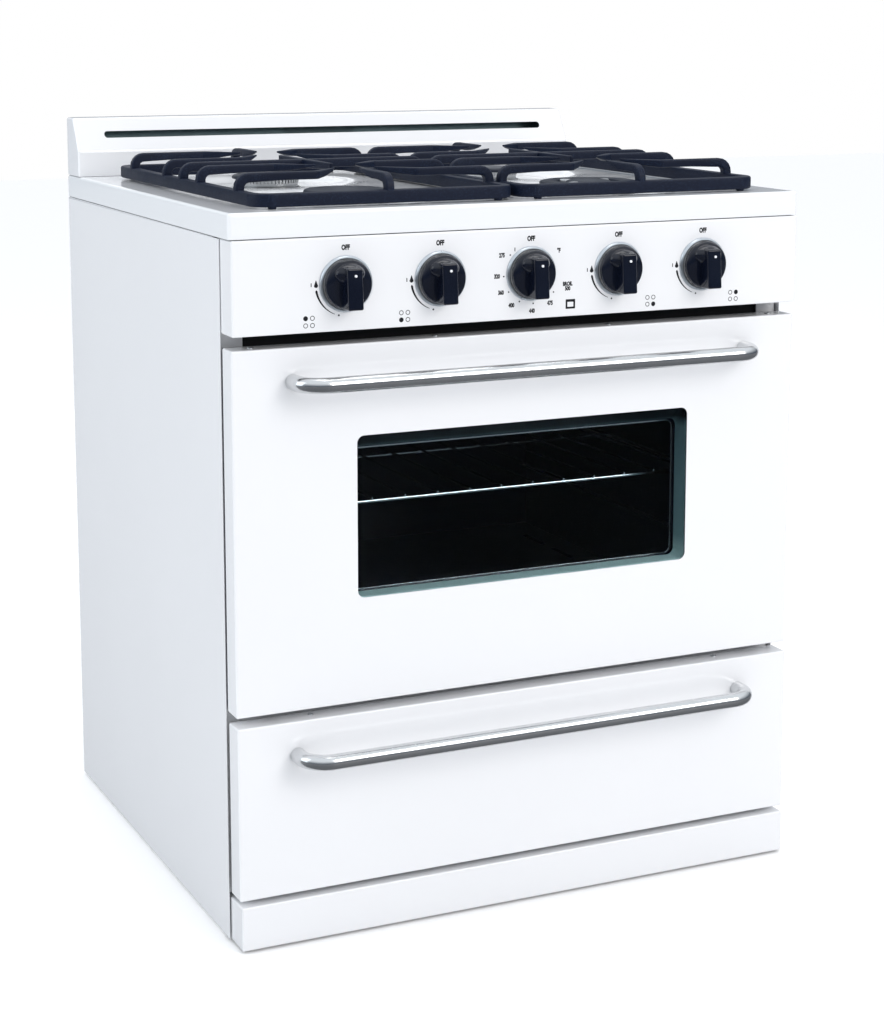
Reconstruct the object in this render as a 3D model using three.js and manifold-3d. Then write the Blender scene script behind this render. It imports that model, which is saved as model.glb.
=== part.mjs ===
// Freestanding gas range: enamelled casing, four-burner cooktop with two cast-iron grates,
// drop-down oven door and storage drawer. Millimetres, +Z up, front towards -Y.
// While it is built, X = 0 is the middle, Y = 0 the front edge of the side panels and Z = 0 the floor.
import * as THREE from 'three';
import { mergeVertices } from 'three/addons/utils/BufferGeometryUtils.js';
import Module from 'manifold-3d';

// ---------------------------------------------------------------- driving dimensions
const WIDTH = 762; // over the side panels
const BODY_DEPTH = 644; // side panel, front edge to back edge
const COOKTOP_HEIGHT = 879; // floor to the cooktop's rim
const BACKGUARD_RISE = 80; // backguard above the cooktop
const SHEET = 1; // enamelled sheet steel
const TOUCH = 0.3; // between pieces that rest on each other
const SEAM = 1; // visible seam between enamelled panels
const SIDE_CLEARANCE = 0.8; // door and drawer edge to side panel's inner face
const FLOOR_CLEARANCE = 3; // side panels and kick plate above the floor
const FLANGE = 24; // width of a side panel's folded edges

const FOOT_INSET = 46; // foot's axis to the range's side
const FOOT_FRONT = 60; // front feet behind the side panels' front edge
const FOOT_REAR = 54; // rear feet in front of the body's back
const FOOT_PAD = 18; // radius
const FOOT_PAD_HEIGHT = 6;
const THREAD_RADIUS = 5;
const THREAD_TOP = 46;
const PAN_LIFT = 12; // base pan above the floor
const PAN_DEPTH = 28;
const BOSS_RADIUS = 11; // threaded bosses in the base pan
const BOSS_HEIGHT = 18;

const KICK_TOP = 57;
const KICK_PROUD = 39; // kick plate in front of the side panels
const KICK_RETURN = 20; // kick plate's fold behind the side panels' front edge
const DRAWER_BOTTOM = 64;
const DRAWER_HEIGHT = 212;
const DRAWER_PROUD = 36;
const DRAWER_BOX_HEIGHT = 163;
const DRAWER_BOX_LIFT = 11; // drawer box above the drawer front's lower edge
const DRAWER_SIDE_SPACE = 29; // drawer box to side panel's outer face
const DRAWER_FRONT_DEPTH = 30; // drawer front's folded edge
const DRAWER_BACK_SPACE = 88; // drawer box to the body's back
const RAIL_BACK_SPACE = 54; // drawer rails to the body's back
const RAIL_DROP = 22; // height of a drawer rail
const RUNNER_SPACE = 19; // drawer box to a rail's web
const DOOR_GAP = 12; // drawer front to door
const DOOR_PROUD = 33;
const DOOR_BACK = 1.5; // door's back face in front of the side panels' edge
const VENT_GAP = 16; // door to control panel
const PANEL_HEIGHT = 110;
const PANEL_PROUD = 37.7;
const PANEL_RETURN = 6;
const SKIRT = 30; // height of the cooktop's folded edge
const COOKTOP_OVERHANG = 35;
const COOKTOP_SHEET = 1.2;

const FRAME_FACE = 8; // front frame behind the side panels' front edge
const FRAME_POST = 30; // front frame's posts beside the vent gap, from the side's outer face
const OVEN_SIDE_SPACE = 79; // oven liner to the range's side
const OVEN_BACK_SPACE = 84; // liner's back to the body's back
const OVEN_BASE_LIFT = 8; // liner's underside above the door's lower edge
const OVEN_HEAD_SPACE = 145; // cooktop's skirt to the liner's top
const SILL_LIFT = 38; // sill of the oven's mouth above the liner's underside
const MOUTH_LIP = 2; // liner's edge beside the oven's mouth
const MOUTH_HEAD = 4; // liner's edge above the oven's mouth
const RACK_LIFT = 178; // rack above the sill
const RACK_LEVELS = [-92, 0, 88]; // rack supports below, at and above the rack
const LEDGE_WIDTH = 11;
const LEDGE_HEIGHT = 2;
const RACK_WIRE_PITCH = 44;
const RACK_CLEARANCE = 7; // rack to the liner's inner face
const RACK_ROD = 2.5; // radius of the rack's border rods
const RACK_WIRE = 1.8; // radius of its cross wires
const OVEN_BURNER_RADIUS = 12.5;
const FLUE_HALF = 62;
const FLUE_HEIGHT = 28; // flue duct's mouth, below the liner's top

const WINDOW_INSET = 156; // window to the range's side
const WINDOW_LIFT = 128; // window above the door's lower edge
const WINDOW_HEIGHT = 196;
const WINDOW_RADIUS = 9;
const INNER_WINDOW_DROP = 2; // inner window's lower edge below the outer window's
const INNER_WINDOW_HEIGHT = 176;
const INNER_WINDOW_RADIUS = 12;
const GLASS = 4;
const GLASS_LAP = 12; // glass behind the edge of its opening
const PLUG_MARGIN = 22; // oven mouth to the door's raised inner panel
const PLUG_RISE = 6.5;
const SEAL_INNER = 4; // seal's inner and outer edges beyond the oven's mouth
const SEAL_OUTER = 13;
const SEAL_CORNER = 12;

const HINGE_INSET = 51; // hinge to the range's side
const HINGE_FORWARD = 24; // hinge pin in front of the side panels' edge
const HINGE_RISE = 16; // hinge pin above the door's lower edge
const HINGE_PIN = 4; // pin radius
const HINGE_ARM = 5; // arm thickness
const HINGE_PLATE = 12; // half the width and height of the plate on the frame
const LUG_OFFSET = 8; // door's ears, each side of an arm
const LUG_HALF = 1; // half an ear's thickness
const LUG_REACH = 6; // ear in front of the pin's axis

const HANDLE_INSET = 76; // handle feet to the range's side
const HANDLE_TUBE = 9.5; // handle tube's radius
const HANDLE_WALL = 1.4;
const HANDLE_STAND = 41; // panel face to the tube's centre line
const HANDLE_BEND = 30;
const HANDLE_STEPS = 5; // facets round each bend
const DOOR_HANDLE_DROP = 40; // below the door's upper edge
const DRAWER_HANDLE_DROP = 41; // below the drawer's upper edge

const KNOB_PITCH = 120;
const KNOB_DROP = 55; // knob axis below the control panel's upper edge
const KNOB_RADIUS = 29;
const KNOB_DEPTH = 27;
const GRIP_WIDTH = 17;
const SKIRT_DEPTH = 9; // knob's round skirt, at its middle
const KNOB_BACK = 5.3; // knob's back face in front of the control panel
const KNOB_TRAVEL = 4; // free depth beyond the stem's tip
const STEM_RADIUS = 4;
const STEM_CLEARANCE = 0.4;
const STEM_IN_KNOB = 19;
const VALVE_FACE = 4; // valve body behind the side panels' front edge
const MANIFOLD_RADIUS = 9.5;
const PANEL_HOLE_CLEARANCE = 2.5; // round a stem where it passes the control panel
const VALVE_HALF = 12; // burner valve's body
const THERMOSTAT_HALF = 18;
const VALVE_DEPTH = 26;
const REGULATOR_HALF = 20;
const REGULATOR_SPACE = 58; // regulator's front to the body's back
const INLET_INSET = 36; // gas inlet to the range's side
const INLET_DEPTH = 4; // gas inlet's face to the body's back
const NIPPLE_LENGTH = 18;

const GRATE_MARGIN = 41; // grate to the cooktop's side
const GRATE_FRONT = -8;
const GRATE_BACK_SPACE = 100; // grate to the body's back
const GRATE_SEAM = 3; // half the gap between the two grates
const RAIL_WIDTH = 12;
const RAIL_HEIGHT = 16;
const GRATE_PAD = 2;
const GRATE_HEIGHT = 38; // cooktop rim to finger tops
const FINGER_WIDTH = 8;
const FINGER_DEPTH = 10;
const INNER_BEND = 6; // bends where a finger rises from its rail
const OUTER_BEND = 16;
const GRATE_CORNER = 26;
const GRATE_FOOT = 24; // grate's pads from its sides
const FINGER_OFFSET = 70; // side fingers, in front of and behind each burner
const FINGER_REACH = 46; // burner centre to finger tips
const BURNER_INSET = 139; // burner centre to the grate's front or rear rail
const WELL_DEPTH = 9;
const WELL_MARGIN = 18; // between neighbouring wells, halved

const BACKGUARD_DEPTH = 59; // at its base
const BACKGUARD_LEAN = 25; // how far the upper face slopes back
const BACKGUARD_KNEE = 35; // height where the slope begins
const SLOT_INSET = 41; // slot's end to the range's side
const SLOT_RADIUS = 4.4;
const SLOT_HEIGHT = 9;
const SLOT_DROP = 23; // slot's middle below the backguard's top
const VENT_HALF = 8; // half the height of the channel behind the slot

// ---------------------------------------------------------------- levels and places
const sideOuter = WIDTH / 2;
const sideInner = sideOuter - SHEET;
const frontHalf = sideInner - SIDE_CLEARANCE;
const skirtBottom = COOKTOP_HEIGHT - SKIRT;
const bodyTop = skirtBottom - SEAM;
const panelBottom = bodyTop - PANEL_HEIGHT;
const drawerTop = DRAWER_BOTTOM + DRAWER_HEIGHT;
const doorBottom = drawerTop + DOOR_GAP;
const doorTop = panelBottom - VENT_GAP;
const knobZ = bodyTop - KNOB_DROP;
const ovenTop = skirtBottom - OVEN_HEAD_SPACE;
const ovenMouthTop = ovenTop - MOUTH_HEAD;
const ovenHalf = sideOuter - OVEN_SIDE_SPACE;
const mouthHalf = ovenHalf - MOUTH_LIP;
const ovenBase = doorBottom + OVEN_BASE_LIFT;
const ovenSill = ovenBase + SILL_LIFT;
const rackZ = ovenSill + RACK_LIFT;
const ovenFront = FRAME_FACE + SHEET + TOUCH;
const floorLedge = ovenSill - 5; // ledge that carries the oven's floor
const ovenBack = BODY_DEPTH - OVEN_BACK_SPACE;
const rearCover = BODY_DEPTH - SHEET - 1.5;
const windowHalf = sideOuter - WINDOW_INSET;
const windowBottom = doorBottom + WINDOW_LIFT;
const handleHalf = sideOuter - HANDLE_INSET;
const slotHalf = sideOuter - SLOT_INSET;
const grateHalf = sideOuter - GRATE_MARGIN;
const grateBack = BODY_DEPTH - GRATE_BACK_SPACE;
const burnerX = grateHalf / 2;
const burnerFront = GRATE_FRONT + BURNER_INSET;
const burnerRear = grateBack - BURNER_INSET;
const backguardTop = COOKTOP_HEIGHT + BACKGUARD_RISE;
const backguardFront = BODY_DEPTH - BACKGUARD_DEPTH;
const hinge = { x: sideOuter - HINGE_INSET, y: -HINGE_FORWARD, z: doorBottom + HINGE_RISE };
const slotZ = backguardTop - SLOT_DROP;
const flue = { y: [BODY_DEPTH - 42, BODY_DEPTH - 8], z: ovenTop - FLUE_HEIGHT };
const inlet = { x: sideOuter - INLET_INSET, y: BODY_DEPTH - INLET_DEPTH, radius: 12 };

const boxHalf = sideOuter - DRAWER_SIDE_SPACE;
const boxBase = DRAWER_BOTTOM + DRAWER_BOX_LIFT;
const boxZ = [boxBase, boxBase + DRAWER_BOX_HEIGHT];
const boxFront = -DRAWER_PROUD + DRAWER_FRONT_DEPTH + TOUCH;

// ---------------------------------------------------------------- finishes
const FINISHES = {
  enamel: { color: 0xf6f8fa, roughness: 0.2, metalness: 0 },
  cooktop: { color: 0xe9eef2, roughness: 0.18, metalness: 0 },
  porcelain: { color: 0x22262c, roughness: 0.35, metalness: 0 },
  iron: { color: 0x23262c, roughness: 0.6, metalness: 0.2 },
  cap: { color: 0x16181c, roughness: 0.35, metalness: 0.1 },
  aluminium: { color: 0xbfc4c8, roughness: 0.4, metalness: 0.9 },
  stainless: { color: 0xc6cacd, roughness: 0.25, metalness: 1 },
  galvanised: { color: 0xa3a8ab, roughness: 0.5, metalness: 0.8 },
  wire: { color: 0xb8bcc0, roughness: 0.3, metalness: 1 },
  brass: { color: 0xb39a55, roughness: 0.35, metalness: 1 },
  plastic: { color: 0x0d0e12, roughness: 0.15, metalness: 0 },
  glass: { color: 0x10161c, roughness: 0.05, metalness: 0 },
  gasket: { color: 0x3a3c3e, roughness: 0.9, metalness: 0 },
  foot: { color: 0x1c1c1e, roughness: 0.7, metalness: 0 },
};

const range = new THREE.Group();

function piece(name, shape, finish) {
  const mesh = new THREE.Mesh(shape.isBufferGeometry ? shape : surfaceOf(shape));
  mesh.material = new THREE.MeshStandardMaterial(FINISHES[finish]);
  mesh.name = name;
  range.add(mesh);
}

// ---------------------------------------------------------------- solids
const wasm = await Module();
wasm.setup();

function solid(geometry) {
  const bare = geometry.clone();
  bare.deleteAttribute('normal');
  bare.deleteAttribute('uv');
  const merged = mergeVertices(bare, 1e-4);
  const vertProperties = merged.attributes.position.array;
  const triVerts = new Uint32Array(merged.index.array);
  return new wasm.Manifold(new wasm.Mesh({ numProp: 3, vertProperties, triVerts }));
}

function surfaceOf(shape) {
  const mesh = shape.getMesh();
  const geometry = new THREE.BufferGeometry();
  geometry.setAttribute('position', new THREE.BufferAttribute(mesh.vertProperties, 3));
  geometry.setIndex(new THREE.BufferAttribute(mesh.triVerts, 1));
  return geometry;
}

function join(...shapes) {
  return shapes.reduce((whole, shape) => whole.add(shape));
}

function cut(shape, ...tools) {
  return tools.reduce((rest, tool) => rest.subtract(tool), shape);
}

// A block between two limits along each axis.
function block(x, y, z) {
  const geometry = new THREE.BoxGeometry(x[1] - x[0], y[1] - y[0], z[1] - z[0]);
  geometry.translate((x[0] + x[1]) / 2, (y[0] + y[1]) / 2, (z[0] + z[1]) / 2);
  return solid(geometry);
}

// A folded sheet box; the sides named in open, such as '+y', have no wall.
function pan(x, y, z, wall, open) {
  const room = [x, y, z].map(([low, high], axis) => {
    const letter = 'xyz'[axis];
    return [
      open.includes(`-${letter}`) ? low - 1 : low + wall,
      open.includes(`+${letter}`) ? high + 1 : high - wall,
    ];
  });
  return cut(block(x, y, z), block(...room));
}

// A round bar between two limits along one axis, centred on the other two coordinates.
function bar(axis, limits, centre, radius, sides = 14) {
  const geometry = new THREE.CylinderGeometry(radius, radius, limits[1] - limits[0], sides);
  const middle = (limits[0] + limits[1]) / 2;
  if (axis === 'x') {
    geometry.rotateZ(Math.PI / 2);
    geometry.translate(middle, centre[0], centre[1]);
  } else if (axis === 'y') {
    geometry.translate(centre[0], middle, centre[1]);
  } else {
    geometry.rotateX(Math.PI / 2);
    geometry.translate(centre[0], centre[1], middle);
  }
  return solid(geometry);
}

// A turned shape about a vertical axis; the profile lists radius and height and closes on itself.
function turned(profile, x, y, sides = 28) {
  const points = profile.map(([radius, height]) => new THREE.Vector2(radius, height));
  const geometry = new THREE.LatheGeometry(points, sides);
  geometry.rotateX(Math.PI / 2);
  geometry.translate(x, y, 0);
  return solid(geometry);
}

function roundedOutline(left, right, bottom, top, radius, hole = false) {
  const outline = hole ? new THREE.Path() : new THREE.Shape();
  outline.moveTo(left + radius, bottom);
  outline.lineTo(right - radius, bottom);
  outline.absarc(right - radius, bottom + radius, radius, -Math.PI / 2, 0);
  outline.lineTo(right, top - radius);
  outline.absarc(right - radius, top - radius, radius, 0, Math.PI / 2);
  outline.lineTo(left + radius, top);
  outline.absarc(left + radius, top - radius, radius, Math.PI / 2, Math.PI);
  outline.lineTo(left, bottom + radius);
  outline.absarc(left + radius, bottom + radius, radius, Math.PI, Math.PI * 1.5);
  return outline;
}

// An outline drawn in X and Z, extruded between two limits of Y.
function upright(outline, y, curveSegments = 3) {
  const options = { depth: y[1] - y[0], bevelEnabled: false, curveSegments };
  const geometry = new THREE.ExtrudeGeometry(outline, options);
  geometry.rotateX(Math.PI / 2);
  geometry.translate(0, y[1], 0);
  return solid(geometry);
}

// An outline drawn in X and Y, extruded between two limits of Z.
function flat(outline, z, curveSegments = 3) {
  const options = { depth: z[1] - z[0], bevelEnabled: false, curveSegments };
  const geometry = new THREE.ExtrudeGeometry(outline, options);
  geometry.translate(0, 0, z[0]);
  return solid(geometry);
}

function mirrored(shape) {
  return shape.mirror([1, 0, 0]);
}

// ---------------------------------------------------------------- casing
// A folded side with notches at its front corners for the kick plate and the control panel.
function sidePanel() {
  const x = [sideOuter - FLANGE, sideOuter];
  const z = [FLOOR_CLEARANCE, bodyTop];
  const tray = pan(x, [0, BODY_DEPTH], z, SHEET, '-x -y');
  const inside = [x[0] - 1, sideInner];
  const front = [-1, KICK_RETURN + SHEET];
  const notch = 3;
  const kickNotch = block(inside, front, [z[0] - 1, z[0] + notch]);
  const panelNotch = block(inside, front, [z[1] - notch, z[1] + 1]);
  return cut(tray, kickNotch, panelNotch);
}

function rearCoverPanel() {
  const half = sideInner - 2;
  const y = [rearCover, rearCover + SHEET];
  const plate = block([-half, half], y, [KICK_TOP + 3, bodyTop - 2]);
  const through = [y[0] - 1, y[1] + 1];
  const inletHole = bar('y', through, [inlet.x, knobZ], inlet.radius + 8);
  const slot = { half: 60, height: 6, pitch: 16, rows: 3, lift: 20 };
  const slots = [];
  for (let row = 0; row < slot.rows; row += 1) {
    const z = ovenTop + slot.lift + row * slot.pitch;
    for (const column of [-1, 0, 1]) {
      const x = (column * half) / 2;
      slots.push(block([x - slot.half, x + slot.half], through, [z, z + slot.height]));
    }
  }
  return cut(plate, inletHole, ...slots);
}

const footPlaces = [
  ['front_left', -1, FOOT_FRONT],
  ['front_right', 1, FOOT_FRONT],
  ['rear_left', -1, BODY_DEPTH - FOOT_REAR],
  ['rear_right', 1, BODY_DEPTH - FOOT_REAR],
];
const footX = sideOuter - FOOT_INSET;

function basePan() {
  const half = sideInner - 4;
  const y = [KICK_RETURN + 4, BODY_DEPTH - 8];
  const tray = pan([-half, half], y, [PAN_LIFT, PAN_LIFT + PAN_DEPTH], SHEET, '+z');
  const bore = THREAD_RADIUS + STEM_CLEARANCE;
  const atFeet = (z, radius) => (
    footPlaces.map(([, side, footY]) => bar('z', z, [side * footX, footY], radius))
  );
  const bosses = atFeet([PAN_LIFT, PAN_LIFT + BOSS_HEIGHT], BOSS_RADIUS);
  return cut(join(tray, ...bosses), ...atFeet([PAN_LIFT - 1, PAN_LIFT + BOSS_HEIGHT + 1], bore));
}

function foot(side, y) {
  const pad = bar('z', [0, FOOT_PAD_HEIGHT], [side * footX, y], FOOT_PAD, 18);
  const thread = bar('z', [FOOT_PAD_HEIGHT - 1, THREAD_TOP], [side * footX, y], THREAD_RADIUS);
  return join(pad, thread);
}

// A flat frame with openings for the drawer, the oven's mouth and the vent gap below the controls.
function frontFrame() {
  const half = sideInner - 1.5;
  const y = [FRAME_FACE, FRAME_FACE + SHEET];
  const through = [y[0] - 1, y[1] + 1];
  const post = sideOuter - FRAME_POST;
  const drawerHalf = boxHalf + RUNNER_SPACE;
  return cut(
    block([-half, half], y, [KICK_TOP + 3, bodyTop - 2]),
    block([-drawerHalf, drawerHalf], through, [DRAWER_BOTTOM + 6, drawerTop - 14]),
    block([-mouthHalf, mouthHalf], through, [ovenSill, ovenMouthTop]),
    block([-post, post], through, [doorTop - 6, bodyTop]),
  );
}

function kickPlate() {
  const half = frontHalf - 1.2;
  return pan([-half, half], [-KICK_PROUD, KICK_RETURN], [FLOOR_CLEARANCE, KICK_TOP], SHEET, '+y -z');
}

function controlPanel() {
  const z = [panelBottom, bodyTop];
  const shell = pan([-frontHalf, frontHalf], [-PANEL_PROUD, PANEL_RETURN], z, SHEET, '+y -z');
  const holes = knobPlaces.map(([, x]) => (
    bar('y', [-PANEL_PROUD - 1, -PANEL_PROUD + 3], [x, knobZ], STEM_RADIUS + PANEL_HOLE_CLEARANCE, 12)
  ));
  return cut(shell, ...holes);
}

// ---------------------------------------------------------------- cooktop and backguard
const burners = {
  front_left: { x: -burnerX, y: burnerFront, head: 44, cap: 52.5 },
  rear_left: { x: -burnerX, y: burnerRear, head: 45, cap: 49 },
  front_right: { x: burnerX, y: burnerFront, head: 60, cap: 64 },
  rear_right: { x: burnerX, y: burnerRear, head: 35, cap: 38 },
};
const THROAT = 20; // radius of every burner's mixing throat
const THROAT_CLEARANCE = 3;
const wellRadius = Math.min(2 * burnerX, burnerRear - burnerFront) / 2 - WELL_MARGIN;
const wellFloor = COOKTOP_HEIGHT - WELL_DEPTH;

function cooktop() {
  const wall = COOKTOP_SHEET;
  const z = [skirtBottom, COOKTOP_HEIGHT];
  let top = pan([-sideOuter, sideOuter], [-COOKTOP_OVERHANG, BODY_DEPTH], z, wall, '-z');
  for (const { x, y } of Object.values(burners)) {
    const well = bar('z', [wellFloor - wall, COOKTOP_HEIGHT - wall / 2], [x, y], wellRadius + wall, 32);
    const hollow = bar('z', [wellFloor, COOKTOP_HEIGHT + 1], [x, y], wellRadius, 32);
    const throat = bar('z', [skirtBottom, COOKTOP_HEIGHT], [x, y], THROAT + THROAT_CLEARANCE, 16);
    top = cut(join(top, well), hollow, throat);
  }
  const gap = 4;
  const flueX = [-FLUE_HALF - gap, FLUE_HALF + gap];
  const flueHole = block(flueX, [flue.y[0] - gap, flue.y[1] + gap], [z[0] + wall, z[1] + wall]);
  return cut(top, flueHole);
}

// The backguard's side outline, drawn in Y and Z, drawn in by a wall.
function backguardOutline(wall) {
  const outline = new THREE.Shape();
  const bottom = COOKTOP_HEIGHT + (wall ? -1 : TOUCH);
  outline.moveTo(backguardFront + wall, bottom);
  outline.lineTo(backguardFront + wall, COOKTOP_HEIGHT + BACKGUARD_KNEE);
  outline.lineTo(backguardFront + BACKGUARD_LEAN + wall, backguardTop - wall);
  outline.lineTo(BODY_DEPTH - SHEET - wall, backguardTop - wall);
  outline.lineTo(BODY_DEPTH - SHEET - wall, bottom);
  outline.closePath();
  return outline;
}

function backguardPrism(wall) {
  const length = 2 * (sideOuter - wall);
  const options = { depth: length, bevelEnabled: false };
  const geometry = new THREE.ExtrudeGeometry(backguardOutline(wall), options);
  geometry.rotateX(Math.PI / 2);
  geometry.rotateZ(Math.PI / 2);
  geometry.translate(-length / 2, 0, 0);
  return solid(geometry);
}

function backguard() {
  const z = [slotZ - SLOT_HEIGHT / 2, slotZ + SLOT_HEIGHT / 2];
  const outline = roundedOutline(-slotHalf, slotHalf, z[0], z[1], SLOT_RADIUS);
  const slot = upright(outline, [backguardFront - 5, backguardFront + 30]);
  return cut(backguardPrism(0), backguardPrism(SHEET), slot);
}

// A channel behind the backguard's slot, open at the front and fed from the flue duct below.
function ventChannel() {
  const half = slotHalf + 5;
  const y = [backguardFront + 19, flue.y[1] - 2];
  const channel = pan([-half, half], y, [slotZ - VENT_HALF, slotZ + VENT_HALF], SHEET, '-y');
  const z = [slotZ - VENT_HALF - 1, slotZ - VENT_HALF + 3];
  const inletHole = block([-FLUE_HALF + 6, FLUE_HALF - 6], [y[0] + 4, y[1] - 4], z);
  return cut(channel, inletHole);
}

// ---------------------------------------------------------------- oven
function ovenLiner() {
  const y = [ovenFront, ovenBack];
  const inner = ovenHalf - SHEET;
  const parts = [pan([-ovenHalf, ovenHalf], y, [ovenBase, ovenTop], SHEET, '-y')];
  for (const top of [floorLedge, ...RACK_LEVELS.map((step) => rackZ + step)]) {
    for (const side of [-1, 1]) {
      const x = [side * (inner - LEDGE_WIDTH), side * (inner + SHEET / 2)].sort((a, b) => a - b);
      parts.push(block(x, [y[0] + 8, y[1] - SHEET / 2], [top - LEDGE_HEIGHT, top]));
    }
  }
  const half = FLUE_HALF - 4;
  const flueHole = block([-half, half], [y[1] - 5, y[1] + 5], [flue.z + 4, ovenTop - 4]);
  return cut(join(...parts), flueHole);
}

function ovenFloor() {
  const half = ovenHalf - SHEET - 2;
  const z = [floorLedge + TOUCH, floorLedge + TOUCH + SHEET];
  const plate = block([-half, half], [ovenFront + 3, ovenBack - 4], z);
  const slot = { half: 4, length: 60, inset: 40, count: 5, margin: 50 };
  const pitch = (ovenBack - ovenFront - 2 * slot.margin) / slot.count;
  const slots = [];
  for (const side of [-1, 1]) {
    const x = side * (half - slot.inset);
    for (let index = 0; index < slot.count; index += 1) {
      const y = ovenFront + slot.margin + index * pitch;
      const through = [z[0] - 1, z[1] + 1];
      slots.push(block([x - slot.half, x + slot.half], [y, y + slot.length], through));
    }
  }
  return cut(plate, ...slots);
}

function ovenBurner() {
  const z = (ovenBase + ovenSill) / 2 - 2;
  return bar('y', [ovenFront + 20, ovenBack - 60], [0, z], OVEN_BURNER_RADIUS, 18);
}

function ovenRack() {
  const rod = RACK_ROD;
  const wire = RACK_WIRE;
  const half = ovenHalf - SHEET - RACK_CLEARANCE;
  const y = [ovenFront + 31, ovenBack - 20];
  const z = rackZ + TOUCH + rod;
  const rods = [];
  for (const side of [-1, 1]) {
    rods.push(bar('y', [y[0] - rod, y[1] + rod], [side * half, z], rod, 6));
  }
  for (const rodY of [y[0], (y[0] + y[1]) / 2, y[1]]) {
    rods.push(bar('x', [-half, half], [rodY, z], rod, 6));
  }
  const wires = Math.floor(half / RACK_WIRE_PITCH);
  for (let index = -wires; index <= wires; index += 1) {
    const place = [index * RACK_WIRE_PITCH, z + rod + wire / 2];
    rods.push(bar('y', [y[0] - wire, y[1] + wire], place, wire, 5));
  }
  return join(...rods);
}

function flueDuct() {
  const x = [-FLUE_HALF, FLUE_HALF];
  const top = slotZ - VENT_HALF - TOUCH;
  const outer = join(
    block(x, flue.y, [flue.z, top]),
    block(x, [ovenBack + TOUCH, flue.y[1]], [flue.z, ovenTop - 1]),
  );
  const inside = [x[0] + SHEET, x[1] - SHEET];
  return cut(
    outer,
    block(inside, [flue.y[0] + SHEET, flue.y[1] - SHEET], [flue.z + SHEET, top + 1]),
    block(inside, [ovenBack - 1, flue.y[1] - SHEET], [flue.z + SHEET, ovenTop - 1 - SHEET]),
  );
}

function ovenSeal() {
  const ring = (grow) => {
    const z = [ovenSill - grow, ovenMouthTop + grow];
    return roundedOutline(-mouthHalf - grow, mouthHalf + grow, z[0], z[1], SEAL_CORNER, grow === SEAL_INNER);
  };
  const outline = ring(SEAL_OUTER);
  outline.holes.push(ring(SEAL_INNER));
  return upright(outline, [-DOOR_BACK + TOUCH, FRAME_FACE - TOUCH], 2);
}

// ---------------------------------------------------------------- oven door
// Slots in the door's back and underside that the hinge arms pass through as it opens.
function hingeSlots() {
  const half = HINGE_ARM / 2 + 2;
  return [-1, 1].map((side) => {
    const x = [side * hinge.x - half, side * hinge.x + half];
    return block(x, [-DOOR_PROUD + 2, 1], [doorBottom - 1, hinge.z + 10]);
  });
}

function doorOuterPanel() {
  const y = [-DOOR_PROUD, -DOOR_BACK - SHEET - TOUCH];
  const shell = pan([-frontHalf, frontHalf], y, [doorBottom, doorTop], SHEET, '+y');
  const top = windowBottom + WINDOW_HEIGHT;
  const outline = roundedOutline(-windowHalf, windowHalf, windowBottom, top, WINDOW_RADIUS);
  return cut(shell, upright(outline, [y[0] - 1, y[0] + 3]), ...hingeSlots());
}

const plug = {
  x: [-ovenHalf + PLUG_MARGIN, ovenHalf - PLUG_MARGIN],
  y: [-DOOR_BACK - SHEET, -DOOR_BACK + PLUG_RISE],
  z: [ovenSill + PLUG_MARGIN - 9, ovenMouthTop - PLUG_MARGIN / 2],
};

function doorInnerPanel() {
  const plate = block([-frontHalf, frontHalf], [plug.y[0], -DOOR_BACK], [doorBottom, doorTop]);
  const raised = block(plug.x, plug.y, plug.z);
  const recess = block(
    [plug.x[0] + SHEET, plug.x[1] - SHEET],
    [plug.y[0] - 1, plug.y[1] - SHEET],
    [plug.z[0] + SHEET, plug.z[1] - SHEET],
  );
  const bottom = windowBottom - INNER_WINDOW_DROP;
  const top = bottom + INNER_WINDOW_HEIGHT;
  const outline = roundedOutline(-windowHalf - 1, windowHalf + 1, bottom, top, INNER_WINDOW_RADIUS);
  const window = upright(outline, [plug.y[0] - 1, plug.y[1] + 1]);
  const panel = cut(join(plate, raised), recess, window, ...hingeSlots());
  return cut(join(panel, ...hingeLugs()), ...hingeBores());
}

// Ears inside the door that turn on the hinge pins, one each side of an arm.
const lugPlaces = [-1, 1].flatMap((side) => (
  [-1, 1].map((ear) => side * hinge.x + ear * LUG_OFFSET)
));

function hingeLugs() {
  const y = [hinge.y - LUG_REACH, -DOOR_BACK - SHEET / 2];
  const z = [hinge.z - LUG_OFFSET, hinge.z + LUG_OFFSET];
  return lugPlaces.map((x) => block([x - LUG_HALF, x + LUG_HALF], y, z));
}

function hingeBores() {
  const radius = HINGE_PIN + STEM_CLEARANCE;
  return lugPlaces.map((x) => bar('x', [x - 2 * LUG_HALF, x + 2 * LUG_HALF], [hinge.y, hinge.z], radius));
}

function doorHinge(side) {
  const x = side * hinge.x;
  const around = (centre, half) => [centre - half, centre + half];
  const back = FRAME_FACE - TOUCH;
  return join(
    block(around(x, HINGE_PLATE), [back - 1.2, back], around(hinge.z, HINGE_PLATE)),
    block(around(x, HINGE_ARM / 2), [hinge.y, back - 0.7], around(hinge.z, HINGE_PLATE / 2)),
    bar('x', around(x, LUG_OFFSET + 3 * LUG_HALF), [hinge.y, hinge.z], HINGE_PIN),
  );
}

function doorOuterGlass() {
  const y = -DOOR_PROUD + SHEET + TOUCH;
  const half = windowHalf + GLASS_LAP;
  const z = [windowBottom - GLASS_LAP, windowBottom + WINDOW_HEIGHT + GLASS_LAP];
  return block([-half, half], [y, y + GLASS], z);
}

function doorInnerGlass() {
  const y = plug.y[1] - SHEET - TOUCH;
  const half = windowHalf + GLASS_LAP;
  const z = [windowBottom - GLASS_LAP, windowBottom + INNER_WINDOW_HEIGHT + GLASS_LAP];
  return block([-half, half], [y - GLASS, y], z);
}

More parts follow.
